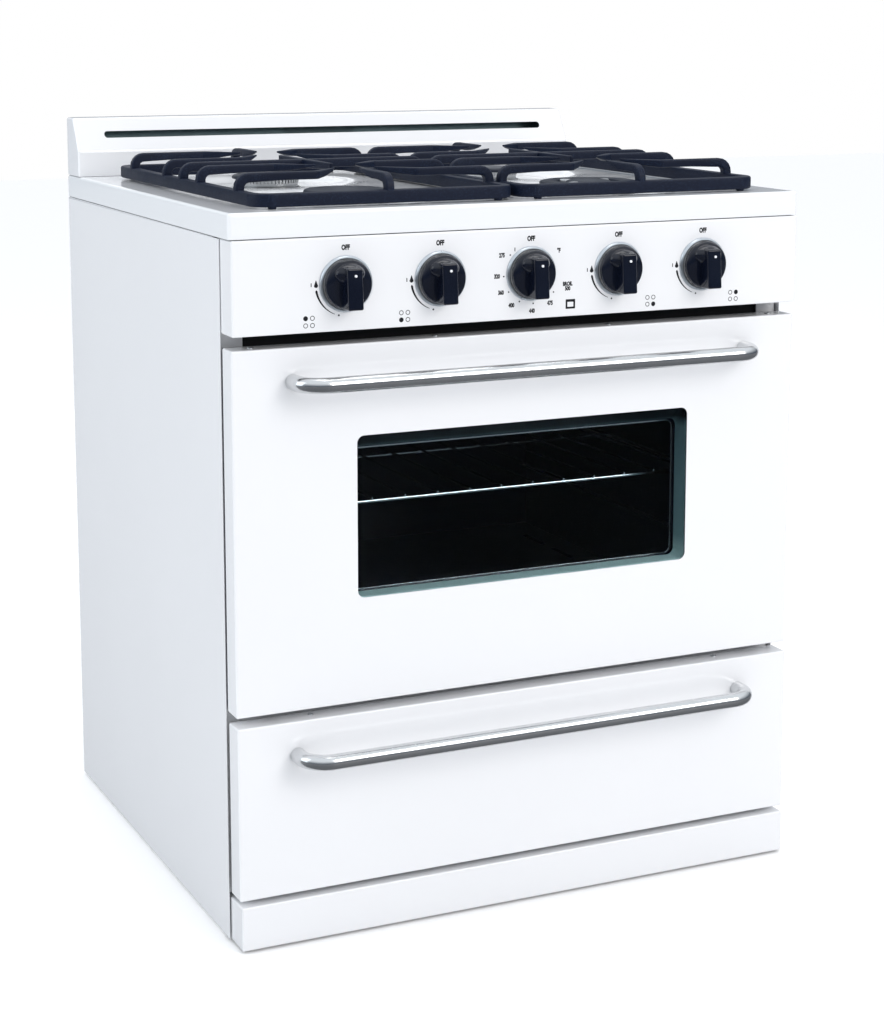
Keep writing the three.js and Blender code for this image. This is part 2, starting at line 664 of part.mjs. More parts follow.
// ---------------------------------------------------------------- handles
// The tube's centre line: out from one foot, round a quarter turn, along, and back to the other foot.
class HandlePath extends THREE.Curve {
  constructor(face, z, past) {
    super();
    const centre = face - HANDLE_STAND;
    const straight = handleHalf - HANDLE_BEND;
    const half = [new THREE.Vector3(handleHalf, face - TOUCH + past, z)];
    for (let index = 0; index <= HANDLE_STEPS; index += 1) {
      const angle = (index / HANDLE_STEPS) * (Math.PI / 2);
      const x = straight + HANDLE_BEND * Math.cos(angle);
      half.push(new THREE.Vector3(x, centre + HANDLE_BEND * (1 - Math.sin(angle)), z));
    }
    const other = half.map((point) => new THREE.Vector3(-point.x, point.y, z)).reverse();
    this.stations = [...half, ...other];
  }

  getPoint(t, target = new THREE.Vector3()) {
    const place = Math.min(Math.max(t, 0), 1) * (this.stations.length - 1);
    const index = Math.min(Math.floor(place), this.stations.length - 2);
    return target.lerpVectors(this.stations[index], this.stations[index + 1], place - index);
  }

  // Steps fall on the stations, so the straight stretches take one step each.
  getPointAt(u, target) {
    return this.getPoint(u, target);
  }

  getTangentAt(u, target) {
    return this.getTangent(u, target);
  }
}

function handleBar(radius, face, z, past) {
  const section = new THREE.Shape();
  section.absarc(0, 0, radius, 0, 2 * Math.PI);
  const extrudePath = new HandlePath(face, z, past);
  const steps = extrudePath.stations.length - 1;
  const options = { steps, curveSegments: 6, bevelEnabled: false, extrudePath };
  return solid(new THREE.ExtrudeGeometry(section, options));
}

function handle(face, z) {
  return cut(handleBar(HANDLE_TUBE, face, z, 0), handleBar(HANDLE_TUBE - HANDLE_WALL, face, z, 1));
}

// ---------------------------------------------------------------- drawer

function drawerFront() {
  const y = [-DRAWER_PROUD, boxFront - TOUCH];
  return pan([-frontHalf, frontHalf], y, [DRAWER_BOTTOM, drawerTop], SHEET, '+y');
}

function drawerBox() {
  const y = [boxFront, BODY_DEPTH - DRAWER_BACK_SPACE];
  const tray = pan([-boxHalf, boxHalf], y, boxZ, SHEET, '+z');
  const runners = [-1, 1].map((side) => {
    const x = [side * (boxHalf - SHEET), side * (boxHalf + RUNNER_SPACE - 3)].sort((a, b) => a - b);
    return block(x, [FRAME_FACE + 6, y[1]], [boxZ[1] - SHEET, boxZ[1]]);
  });
  return join(tray, ...runners);
}

function drawerRail() {
  const top = boxZ[1] - SHEET - TOUCH;
  const bottom = top - RAIL_DROP;
  const y = [FRAME_FACE + SHEET + 1, BODY_DEPTH - RAIL_BACK_SPACE];
  const web = boxHalf + RUNNER_SPACE;
  return join(
    block([boxHalf + 3, web + SHEET], y, [top - SHEET, top]),
    block([web, web + SHEET], y, [bottom, top]),
    block([web, sideInner - TOUCH], y, [bottom, bottom + SHEET]),
  );
}

// ---------------------------------------------------------------- gas train and controls
const knobPlaces = [
  ['rear_left', -2 * KNOB_PITCH],
  ['front_left', -KNOB_PITCH],
  ['oven', 0],
  ['front_right', KNOB_PITCH],
  ['rear_right', 2 * KNOB_PITCH],
];
const manifoldY = VALVE_FACE + VALVE_DEPTH + TOUCH + MANIFOLD_RADIUS;
const STEM_TIP = VALVE_FACE + 16; // inner end of a valve's stem

function valve(x, half) {
  const back = VALVE_FACE + VALVE_DEPTH;
  const body = block([x - half, x + half], [VALVE_FACE, back], [knobZ - half - 1, knobZ + half + 1]);
  const neck = bar('y', [VALVE_FACE - 12, VALVE_FACE + 1], [x, knobZ], 9);
  const outlet = bar('z', [knobZ + half, knobZ + half + 14], [x, VALVE_FACE + VALVE_DEPTH / 2], 5, 12);
  const bore = bar('y', [VALVE_FACE - 13, STEM_TIP + 1], [x, knobZ], STEM_RADIUS + STEM_CLEARANCE);
  return cut(join(body, neck, outlet), bore);
}

const knobBack = -PANEL_PROUD - KNOB_BACK;

function stem(x) {
  return bar('y', [knobBack - STEM_IN_KNOB, STEM_TIP], [x, knobZ], STEM_RADIUS);
}

function knob(x) {
  const profile = [
    [0, 0], [KNOB_RADIUS, 0], [KNOB_RADIUS, SKIRT_DEPTH - 5], [KNOB_RADIUS - 1.5, SKIRT_DEPTH - 3],
    [KNOB_RADIUS - 5, SKIRT_DEPTH - 1.5], [KNOB_RADIUS - 12, SKIRT_DEPTH - 0.4], [0, SKIRT_DEPTH],
  ];
  const grip = new THREE.BoxGeometry(GRIP_WIDTH, 2 * KNOB_RADIUS - 3, KNOB_DEPTH - 2);
  grip.translate(0, 0, KNOB_DEPTH / 2 + 1);
  const socket = bar('z', [-1, STEM_IN_KNOB + KNOB_TRAVEL], [0, 0], STEM_RADIUS + STEM_CLEARANCE);
  const whole = cut(join(turned(profile, 0, 0, 24), solid(grip)), socket);
  return whole.rotate([90, 0, 0]).translate([x, knobBack, knobZ]);
}

function gasManifold() {
  const run = [knobPlaces[0][1] - 30, inlet.x];
  const leg = [manifoldY - MANIFOLD_RADIUS, BODY_DEPTH - REGULATOR_SPACE];
  return join(
    bar('x', run, [manifoldY, knobZ], MANIFOLD_RADIUS, 18),
    bar('y', leg, [inlet.x, knobZ], MANIFOLD_RADIUS, 18),
  );
}

function pressureRegulator() {
  const half = REGULATOR_HALF;
  const y = [BODY_DEPTH - REGULATOR_SPACE + TOUCH, inlet.y - NIPPLE_LENGTH];
  const body = block([inlet.x - half, inlet.x + half], y, [knobZ - half, knobZ + half]);
  const middle = (y[0] + y[1]) / 2;
  const dome = bar('z', [knobZ + half - 1, knobZ + half + 14], [inlet.x, middle], half - 4, 18);
  const nipple = bar('y', [y[1] - 1, inlet.y], [inlet.x, knobZ], inlet.radius, 18);
  const bore = bar('y', [y[1] - 10, inlet.y + 1], [inlet.x, knobZ], inlet.radius - 5);
  return cut(join(body, dome, nipple), bore);
}

// ---------------------------------------------------------------- burners
const headTop = COOKTOP_HEIGHT + 4;
const capZ = headTop + TOUCH;

function burnerHead({ x, y, head }) {
  const seat = wellFloor + TOUCH;
  const profile = [
    [0, skirtBottom + 4], [THROAT, skirtBottom + 4], [THROAT, seat], [head - 4, seat],
    [head - 6, seat + 5], [head - 3, headTop - 3], [head - 3, headTop], [0, headTop],
  ];
  return turned(profile, x, y);
}

function burnerCap({ x, y, cap }) {
  const profile = [[0, capZ], [cap, capZ], [cap, capZ + 3], [cap - 3, capZ + 5.5], [0, capZ + 6]];
  return turned(profile, x, y, 32);
}

// The large burner: a ring head and ring cap round a small inner burner.
const RING_HOLE = 42;

function ringHead({ x, y, head }) {
  const seat = wellFloor + TOUCH;
  const inner = RING_HOLE - 8;
  const outer = RING_HOLE - 4;
  const groove = [[inner, seat + 6], [outer, seat + 6], [outer, capZ], [inner, capZ]];
  return cut(burnerHead({ x, y, head }), turned([...groove, groove[0]], x, y));
}

function ringCap({ x, y, cap }) {
  const profile = [
    [RING_HOLE, capZ], [cap, capZ], [cap, capZ + 3], [cap - 3, capZ + 5.5], [RING_HOLE + 2, capZ + 5.5],
    [RING_HOLE, capZ + 4], [RING_HOLE, capZ],
  ];
  return turned(profile, x, y, 32);
}

// ---------------------------------------------------------------- grates
const grateZ = COOKTOP_HEIGHT + TOUCH;
const railZ = [grateZ + GRATE_PAD, grateZ + GRATE_PAD + RAIL_HEIGHT];
const fingerTop = COOKTOP_HEIGHT + GRATE_HEIGHT;
const grateMiddle = (GRATE_FRONT + grateBack) / 2;

// A bent bar drawn in X and Z: it rises from a rail at X = 0 and runs level to X = run.
function archOutline(run) {
  const leg = FINGER_DEPTH / 2;
  const under = fingerTop - FINGER_DEPTH;
  const outline = new THREE.Shape();
  outline.moveTo(-leg, railZ[0] + 4);
  outline.lineTo(leg, railZ[0] + 4);
  outline.lineTo(leg, under - INNER_BEND);
  outline.absarc(leg + INNER_BEND, under - INNER_BEND, INNER_BEND, Math.PI, Math.PI / 2, true);
  outline.lineTo(run, under);
  outline.lineTo(run, fingerTop);
  outline.lineTo(OUTER_BEND - leg, fingerTop);
  outline.absarc(OUTER_BEND - leg, fingerTop - OUTER_BEND, OUTER_BEND, Math.PI / 2, Math.PI);
  outline.closePath();
  return outline;
}

function arch(run) {
  return upright(archOutline(run), [-FINGER_WIDTH / 2, FINGER_WIDTH / 2], 2);
}

// A tapering tip from one plan point to another, level on top.
function tip(from, to) {
  const along = new THREE.Vector2().subVectors(to, from).normalize();
  const across = new THREE.Vector2(-along.y, along.x);
  const corners = [
    [from, FINGER_WIDTH / 2], [to, FINGER_WIDTH / 5], [to, -FINGER_WIDTH / 5], [from, -FINGER_WIDTH / 2],
  ].map(([point, offset]) => point.clone().addScaledVector(across, offset));
  return flat(new THREE.Shape(corners), [fingerTop - FINGER_DEPTH * 0.7, fingerTop]);
}

function burnerFingers(y) {
  const parts = [];
  for (const rail of [grateHalf - RAIL_WIDTH / 2, GRATE_SEAM + RAIL_WIDTH / 2]) {
    const towards = Math.sign(burnerX - rail);
    const span = Math.abs(burnerX - rail);
    const run = span - FINGER_OFFSET;
    for (const side of [-1, 1]) {
      const root = arch(run).scale([towards, 1, 1]).translate([rail, y + side * FINGER_OFFSET, 0]);
      const bend = new THREE.Vector2(burnerX - towards * (FINGER_OFFSET + 3), y + side * FINGER_OFFSET);
      const reach = FINGER_REACH * Math.SQRT1_2;
      const end = new THREE.Vector2(burnerX - towards * reach, y + side * reach);
      parts.push(root, tip(bend, end));
    }
  }
  return parts;
}

// The straight finger that reaches a burner from the front rail, the rear rail or the middle bar.
function straightFinger(root, burnerY) {
  const towards = Math.sign(burnerY - root);
  const run = Math.abs(burnerY - root) - FINGER_REACH;
  const half = run / 2;
  const from = new THREE.Vector2(burnerX, root + towards * (half - 1));
  const end = new THREE.Vector2(burnerX, root + towards * run);
  return { half, from, end, towards };
}

function railFinger(root, burnerY) {
  const { half, from, end, towards } = straightFinger(root, burnerY);
  const bent = arch(half).rotate([0, 0, 90 * towards]).translate([burnerX, root, 0]);
  return join(bent, tip(from, end));
}

function middleBar() {
  const left = GRATE_SEAM + RAIL_WIDTH / 2;
  const right = grateHalf - RAIL_WIDTH / 2;
  const half = arch((right - left) / 2 + 1);
  const parts = [
    half.translate([left, grateMiddle, 0]),
    half.scale([-1, 1, 1]).translate([right, grateMiddle, 0]),
  ];
  for (const burnerY of [burnerFront, burnerRear]) {
    const { end } = straightFinger(grateMiddle, burnerY);
    parts.push(tip(new THREE.Vector2(burnerX, grateMiddle), end));
  }
  return join(...parts);
}

function grate() {
  const y = [GRATE_FRONT, grateBack];
  const inner = [y[0] + RAIL_WIDTH, y[1] - RAIL_WIDTH];
  const outline = roundedOutline(GRATE_SEAM, grateHalf, y[0], y[1], GRATE_CORNER);
  const innerHalf = grateHalf - RAIL_WIDTH;
  const innerCorner = GRATE_CORNER - RAIL_WIDTH;
  const hole = roundedOutline(GRATE_SEAM + RAIL_WIDTH, innerHalf, inner[0], inner[1], innerCorner, true);
  outline.holes.push(hole);
  const parts = [flat(outline, railZ, 2), middleBar()];
  parts.push(...burnerFingers(burnerFront), ...burnerFingers(burnerRear));
  const railY = [y[0] + RAIL_WIDTH / 2, y[1] - RAIL_WIDTH / 2];
  parts.push(railFinger(railY[0], burnerFront), railFinger(railY[1], burnerRear));
  for (const x of [GRATE_SEAM + GRATE_FOOT, grateHalf - GRATE_FOOT]) {
    for (const padY of railY) {
      parts.push(bar('z', [grateZ, railZ[0] + 1], [x, padY], 5, 12));
    }
  }
  return join(...parts);
}

// ---------------------------------------------------------------- assembly
const side = sidePanel();
piece('right_side_panel', side, 'enamel');
piece('left_side_panel', mirrored(side), 'enamel');
piece('rear_cover', rearCoverPanel(), 'galvanised');
piece('base_pan', basePan(), 'galvanised');
piece('front_frame', frontFrame(), 'enamel');
piece('kick_plate', kickPlate(), 'enamel');
piece('control_panel', controlPanel(), 'enamel');
piece('cooktop', cooktop(), 'cooktop');
piece('backguard', backguard(), 'enamel');
piece('backguard_vent', ventChannel(), 'galvanised');
piece('oven_liner', ovenLiner(), 'porcelain');
piece('oven_floor', ovenFloor(), 'porcelain');
piece('oven_burner', ovenBurner(), 'aluminium');
piece('oven_rack', ovenRack(), 'wire');
piece('flue_duct', flueDuct(), 'galvanised');
piece('oven_door_seal', ovenSeal(), 'gasket');
piece('door_outer_panel', doorOuterPanel(), 'enamel');
piece('door_inner_panel', doorInnerPanel(), 'porcelain');
piece('door_outer_glass', doorOuterGlass(), 'glass');
piece('door_inner_glass', doorInnerGlass(), 'glass');
piece('door_handle', handle(-DOOR_PROUD, doorTop - DOOR_HANDLE_DROP), 'stainless');
piece('door_hinge_left', doorHinge(-1), 'galvanised');
piece('door_hinge_right', doorHinge(1), 'galvanised');
piece('drawer_front', drawerFront(), 'enamel');
piece('drawer_box', drawerBox(), 'galvanised');
piece('drawer_handle', handle(-DRAWER_PROUD, drawerTop - DRAWER_HANDLE_DROP), 'stainless');
const rail = drawerRail();
piece('drawer_rail_right', rail, 'galvanised');
piece('drawer_rail_left', mirrored(rail), 'galvanised');
for (const [place, hand, y] of footPlaces) {
  piece(`levelling_foot_${place}`, foot(hand, y), 'foot');
}
piece('gas_manifold', gasManifold(), 'galvanised');
piece('pressure_regulator', pressureRegulator(), 'aluminium');
for (const [place, x] of knobPlaces) {
  if (place === 'oven') {
    piece('oven_thermostat', valve(x, THERMOSTAT_HALF), 'brass');
  } else {
    piece(`burner_valve_${place}`, valve(x, VALVE_HALF), 'brass');
  }
  piece(`valve_stem_${place}`, stem(x), 'brass');
  piece(`knob_${place}`, knob(x), 'plastic');
}
for (const [place, burner] of Object.entries(burners)) {
  const ringed = place === 'front_right';
  piece(`burner_head_${place}`, ringed ? ringHead(burner) : burnerHead(burner), 'aluminium');
  piece(`burner_cap_${place}`, ringed ? ringCap(burner) : burnerCap(burner), 'cap');
}
const innerCap = { ...burners.front_right, cap: RING_HOLE - 12 };
piece('burner_inner_cap', burnerCap(innerCap), 'cap');
const rightGrate = grate();
piece('grate_right', rightGrate, 'iron');
piece('grate_left', mirrored(rightGrate), 'iron');

// The finished range stands with the middle of its whole depth, handles included, over the origin.
const frontmost = -Math.max(DOOR_PROUD, DRAWER_PROUD) - HANDLE_STAND - HANDLE_TUBE;
range.position.y = -(frontmost + BODY_DEPTH) / 2;

export default range;
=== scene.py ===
import math

import bmesh
import bpy
from mathutils import Matrix, Vector


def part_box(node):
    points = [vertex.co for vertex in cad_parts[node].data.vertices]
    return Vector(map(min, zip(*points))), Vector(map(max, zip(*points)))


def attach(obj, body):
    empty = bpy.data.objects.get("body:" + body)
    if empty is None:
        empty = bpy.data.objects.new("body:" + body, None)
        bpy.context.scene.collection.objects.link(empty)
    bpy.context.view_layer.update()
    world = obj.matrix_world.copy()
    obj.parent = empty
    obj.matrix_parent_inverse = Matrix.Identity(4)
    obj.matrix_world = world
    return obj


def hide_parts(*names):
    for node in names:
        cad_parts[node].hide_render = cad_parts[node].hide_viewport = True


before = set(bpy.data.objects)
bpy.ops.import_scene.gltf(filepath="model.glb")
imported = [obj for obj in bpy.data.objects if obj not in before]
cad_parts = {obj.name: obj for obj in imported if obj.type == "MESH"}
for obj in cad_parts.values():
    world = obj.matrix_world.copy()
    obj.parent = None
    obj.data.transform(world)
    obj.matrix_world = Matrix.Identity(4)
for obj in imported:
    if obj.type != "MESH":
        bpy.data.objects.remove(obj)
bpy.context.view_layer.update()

MM = 0.001


# ---------------------------------------------------------------- side panels
# Two enamelled steel sheets, each folded inwards at the back, bottom and top. They are pressed from
# 1 mm sheet, so the folds are small rounds, and the white enamel is fired on in one gloss coat.
def bevelled(bm, geom, radius, segments, affect="EDGES"):
    bmesh.ops.bevel(bm, geom=geom, offset=radius, offset_type="OFFSET", segments=segments,
                    profile=0.5, affect=affect, material=-1, clamp_overlap=True)
    return bm


def moved(bm, x=0.0, y=0.0, z=0.0):
    bmesh.ops.translate(bm, vec=(x, y, z), verts=bm.verts)
    return bm


def rounded_block(low, high, radius=0.0, wanted=None, segments=4):
    """A closed block between two corners, with the wanted edges rounded."""
    low, high = Vector(low), Vector(high)
    bm = bmesh.new()
    bmesh.ops.create_cube(bm, size=1.0)
    bmesh.ops.scale(bm, vec=high - low, verts=bm.verts)
    moved(bm, *((low + high) / 2))
    if radius:
        bevelled(bm, [edge for edge in bm.edges if wanted is None or wanted(edge)], radius, segments)
    return bm


def edge_at(axis, value):
    """Chooses the edges whose two ends both lie at a value along an axis."""
    return lambda edge: all(abs(vert.co[axis] - value) < 1e-6 for vert in edge.verts)


def edge_off(axis, value):
    """Chooses the edges that do not lie at a value along an axis."""
    return lambda edge: not edge_at(axis, value)(edge)


def edge_along(axis):
    """Chooses the edges that run along an axis."""
    def chosen(edge):
        run = edge.verts[1].co - edge.verts[0].co
        return abs(run[axis]) > 0.99 * run.length
    return chosen


def drawn(bm, name):
    """A bmesh becomes an object at the origin, and the bmesh is freed."""
    mesh = bpy.data.meshes.new(name)
    bm.to_mesh(mesh)
    bm.free()
    made = bpy.data.objects.new(name, mesh)
    bpy.context.scene.collection.objects.link(made)
    return made


def combined(bm, others, operation):
    """Blender's exact boolean of closed bmeshes, as a new bmesh."""
    base = drawn(bm, "boolean_base")
    tools = [drawn(other, "boolean_tool") for other in others]
    for tool in tools:
        step = base.modifiers.new("cut", "BOOLEAN")
        step.operation = operation
        step.solver = "EXACT"
        step.object = tool
    bpy.context.view_layer.update()
    graph = bpy.context.evaluated_depsgraph_get()
    mesh = bpy.data.meshes.new_from_object(base.evaluated_get(graph))
    result = bmesh.new()
    result.from_mesh(mesh)
    bpy.data.meshes.remove(mesh)
    for spent in [base, *tools]:
        bpy.data.objects.remove(spent)
    bmesh.ops.remove_doubles(result, verts=result.verts, dist=1e-6)
    return result


def carved(bm, *cutters):
    return combined(bm, cutters, "DIFFERENCE")


def fitted(name, bm, material, body, slot, *nodes, smooth_angle=40, edge=0.0):
    """A finished piece in the given material that rides on a body and may stand for CAD nodes, which it
    hides; the slot is not used.
    """
    made = drawn(bm, name)
    made.data.materials.append(material)
    made.data.shade_smooth()
    made.data.set_sharp_from_angle(angle=math.radians(smooth_angle))
    if edge:
        rounding = made.modifiers.new("rounding", "BEVEL")
        rounding.width = edge
        rounding.segments = 2
        rounding.limit_method = "ANGLE"
        rounding.angle_limit = math.radians(50)
        rounding.use_clamp_overlap = True
    levelled = made.modifiers.new("even shading", "WEIGHTED_NORMAL")
    levelled.keep_sharp = True
    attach(made, body)
    if nodes:
        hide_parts(*nodes)


def shader_of(material):
    return material.node_tree.nodes["Principled BSDF"]


def new_material(name, **values):
    """A material whose constant values sit on the Principled shader's own sockets."""
    made = bpy.data.materials.new(name)
    made.use_nodes = True
    for socket, value in values.items():
        shader_of(made).inputs[socket.replace("_", " ")].default_value = value
    return made


def node(owner, kind, **settings):
    """Adds a node to a material, world or group; settings are properties or its sockets' values."""
    made = getattr(owner, "node_tree", owner).nodes.new(kind)
    for name, value in settings.items():
        if name.startswith("set_"):
            setattr(made, name[4:], value)
        else:
            made.inputs[name.replace("_", " ")].default_value = value
    return made


def wire(owner, out_node, out_name, in_node, in_name):
    """Links one node's output to another's input, each by its name or its number."""
    getattr(owner, "node_tree", owner).links.new(out_node.outputs[out_name], in_node.inputs[in_name])


def new_group(name, inputs, outputs):
    """A shader node group with float sockets and a Vector input, and its two end nodes."""
    group = bpy.data.node_groups.new(name, "ShaderNodeTree")
    group.interface.new_socket("Vector", in_out="INPUT", socket_type="NodeSocketVector")
    for label, value in inputs.items():
        socket = group.interface.new_socket(label, in_out="INPUT", socket_type="NodeSocketFloat")
        socket.default_value = value
    for label in outputs:
        group.interface.new_socket(label, in_out="OUTPUT", socket_type="NodeSocketFloat")
    return group, group.nodes.new("NodeGroupInput"), group.nodes.new("NodeGroupOutput")


def unevenness_group():
    """Fired, cast or moulded skins: a fine orange-peel height and a broad, faint blotchiness."""
    scales = {"Peel Scale": 160.0, "Blotch Scale": 4.0}
    group, given, result = new_group("gloss unevenness", scales, ["Height", "Blotch"])
    for scale, detail, label in (("Peel Scale", 2.0, "Height"), ("Blotch Scale", 3.0, "Blotch")):
        texture = node(group, "ShaderNodeTexNoise", Detail=detail)
        wire(group, given, "Vector", texture, "Vector")
        wire(group, given, scale, texture, "Scale")
        wire(group, texture, "Fac", result, label)
    return group


UNEVENNESS = unevenness_group()


def placed_group(material, group, **values):
    """Puts a shared group into a material, fed with Object coordinates."""
    made = node(material, "ShaderNodeGroup", set_node_tree=group, **values)
    place = node(material, "ShaderNodeTexCoord")
    wire(material, place, "Object", made, "Vector")
    return made


def blended(material, mask, mask_name, low, high):
    """Mixes two colours by a mask into the shader's Base Color."""
    mix = node(material, "ShaderNodeMix", set_data_type="RGBA", A=(*low, 1.0), B=(*high, 1.0))
    wire(material, mask, mask_name, mix, "Factor")
    wire(material, mix, "Result", shader_of(material), "Base Color")


def ranged(material, source, name, low, high):
    """Spreads a 0 to 1 value between two limits into the shader's Roughness."""
    spread = node(material, "ShaderNodeMapRange", To_Min=low, To_Max=high)
    wire(material, source, name, spread, "Value")
    wire(material, spread, "Result", shader_of(material), "Roughness")


def bumped(material, source, name, strength, distance):
    """Feeds a height into the shader's normal."""
    bump = node(material, "ShaderNodeBump", Strength=strength, Distance=distance)
    wire(material, source, name, bump, "Height")
    wire(material, bump, "Normal", shader_of(material), "Normal")


def finish(name, scales, low=None, high=None, rough=None, bump=None, **values):
    """A material with a fine grain of height, whose colour and roughness drift in broad blotches."""
    made = new_material(name, **values)
    skin = placed_group(made, UNEVENNESS, Peel_Scale=scales[0], Blotch_Scale=scales[1])
    if low:
        blended(made, skin, "Blotch", low, high)
    if rough:
        ranged(made, skin, "Blotch", *rough)
    if bump:
        bumped(made, skin, "Height", *bump)
    return made


def enamel(name, shade, colour, rough):
    """Gloss vitreous enamel: colour drifts a little, and the skin has a faint orange peel."""
    return finish(name, (140.0, 3.0), shade, colour, rough, bump=(0.05, 0.0004),
                  Coat_Weight=0.35, Coat_Roughness=0.06, IOR=1.52)


WHITE_ENAMEL = enamel("white enamel", (0.785, 0.793, 0.81), (0.815, 0.822, 0.838), (0.14, 0.2))
SHEET = 1.0 * MM
FOLD = 2.5 * MM
CLEAR = 10 * MM  # how far a cutter stands clear of the metal it cuts
FRONT_NOTCH = 21 * MM

for side, sign in (("left", -1), ("right", 1)):
    low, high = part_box(f"{side}_side_panel")
    outer = high.x if sign > 0 else low.x
    inner = outer - sign * SHEET
    flange = low.x if sign > 0 else high.x
    body = rounded_block(low, high, FOLD, lambda edge: edge_at(0, outer)(edge) and edge_off(1, low.y)(edge))
    room_low = Vector((min(flange - sign * CLEAR, inner), low.y - CLEAR, low.z + SHEET))
    room_high = Vector((max(flange - sign * CLEAR, inner), high.y - SHEET, high.z - SHEET))
    notch_low = Vector((room_low.x, low.y - CLEAR, low.z - CLEAR))
    notch_high = Vector((room_high.x, low.y + FRONT_NOTCH, high.z + CLEAR))
    body = carved(body, rounded_block(room_low, room_high), rounded_block(notch_low, notch_high))
    fitted(f"side_panel_{side}", body, WHITE_ENAMEL, "casing", "white_enamel", f"{side}_side_panel",
           edge=0.3 * MM)


# ---------------------------------------------------------------- rear cover and its screws
# Plain galvanised sheet screwed over the back, with rows of cooling slots and a hole for the gas
# supply. Galvanising leaves a patchwork of dull crystals. The screws are pan heads with a cross slot.
def spangle_group():
    """Zinc crystals: cells of slightly different brightness."""
    group, given, result = new_group("zinc spangle", {"Scale": 55.0}, ["Cell"])
    cells = node(group, "ShaderNodeTexVoronoi")
    split = node(group, "ShaderNodeSeparateColor")
    wire(group, given, "Vector", cells, "Vector")
    wire(group, given, "Scale", cells, "Scale")
    wire(group, cells, "Color", split, "Color")
    wire(group, split, "Red", result, "Cell")
    return group


GALVANISED = new_material("galvanised sheet", Metallic=0.5, IOR=1.5)
crystals = placed_group(GALVANISED, spangle_group(), Scale=55.0)
blended(GALVANISED, crystals, "Cell", (0.42, 0.44, 0.46), (0.60, 0.62, 0.64))
ranged(GALVANISED, crystals, "Cell", 0.36, 0.5)
bumped(GALVANISED, crystals, "Cell", 0.08, 0.0002)
ZINC_SCREW = finish("zinc plated screw", (900.0, 200.0), (0.5, 0.52, 0.55), (0.68, 0.7, 0.72),
                    rough=(0.28, 0.4), Metallic=1.0)


def revolved(profile, segments=48):
    """A closed shape turned about +Z; its outline of radii and heights ends on the axis or joins up."""
    bm = bmesh.new()
    verts = [bm.verts.new((radius, 0.0, height)) for radius, height in profile]
    edges = [bm.edges.new(pair) for pair in zip(verts, verts[1:])]
    if profile[0][0] > 0 and profile[-1][0] > 0:
        edges.append(bm.edges.new((verts[-1], verts[0])))
    bmesh.ops.spin(bm, geom=verts + edges, cent=(0, 0, 0), axis=(0, 0, 1), angle=math.tau,
                   steps=segments, use_merge=True, use_duplicate=False)
    bmesh.ops.remove_doubles(bm, verts=bm.verts, dist=1e-6)
    bmesh.ops.recalc_face_normals(bm, faces=bm.faces)
    return bm


def placed(bm, location, heading="+z", turn=0.0):
    """Moves a shape made about +Z so that its +Z points along a heading, then to its place."""
    tilts = {"+z": 0.0, "-y": math.pi / 2, "+y": -math.pi / 2}
    tilt = Matrix.Rotation(tilts[heading], 4, "X")
    matrix = Matrix.Translation(location) @ tilt @ Matrix.Rotation(turn, 4, "Z")
    bmesh.ops.transform(bm, matrix=matrix, verts=bm.verts)
    return bm


def appended(bm, *others):
    """Adds separate closed shapes to one bmesh."""
    for other in others:
        mesh = bpy.data.meshes.new("part")
        other.to_mesh(mesh)
        other.free()
        bm.from_mesh(mesh)
        bpy.data.meshes.remove(mesh)
    return bm


def screw_head():
    """A pan head with a cross recess."""
    radius = 3.6 * MM
    height = 1.5 * MM
    profile = [(0, 0), (radius, 0), (radius, height * 0.35), (radius * 0.86, height * 0.75),
               (radius * 0.5, height * 0.96), (0, height)]
    arms = []
    for long_x, long_y in ((0.62, 0.13), (0.13, 0.62)):
        corner = Vector((radius * long_x, radius * long_y, height * 0.45))
        arms.append(rounded_block((-corner.x, -corner.y, corner.z), (corner.x, corner.y, height * 1.5)))
    return carved(revolved(profile, 20), *arms)


def screws(name, places, heading, body):
    """A set of like screws on one panel, as one piece, each stopped at its own turn."""
    bm = bmesh.new()
    for index, place in enumerate(places):
        appended(bm, placed(screw_head(), place, heading, 0.35 + 0.8 * index))
    fitted(name, bm, ZINC_SCREW, body, "galvanised")


def finish_node(name, material):
    """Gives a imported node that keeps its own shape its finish."""
    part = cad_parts[name]
    part.data.materials.clear()
    part.data.materials.append(material)


finish_node("rear_cover", GALVANISED)
low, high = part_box("rear_cover")
SCREW_SINK = 0.1 * MM
SCREW_INSET = 12 * MM
INNER_COLUMN = 110 * MM
END_INSET = 30 * MM
columns = (low.x + END_INSET, -INNER_COLUMN, INNER_COLUMN, high.x - END_INSET)
rows = (low.z + SCREW_INSET, high.z - SCREW_INSET)
screws("rear_cover_screws", [(x, high.y - SCREW_SINK, z) for x in columns for z in rows], "+y", "casing")


# ---------------------------------------------------------------- base pan and levelling feet
# A shallow galvanised tray closes the bottom and carries four threaded feet. Each foot is a
# moulded black pad on a zinc plated stud.
finish_node("base_pan", GALVANISED)
MATTE_PLASTIC = finish("matte black plastic", (1400.0, 40.0), (0.02, 0.02, 0.022), (0.035, 0.035, 0.038),
                       rough=(0.55, 0.7), bump=(0.2, 0.0002), IOR=1.46)
THREAD_TURNS = 20
THREAD_START = 7 * MM
THREAD_PITCH = 1.9 * MM
THREAD_RADIUS = 5 * MM
THREAD_DEPTH = 0.6 * MM

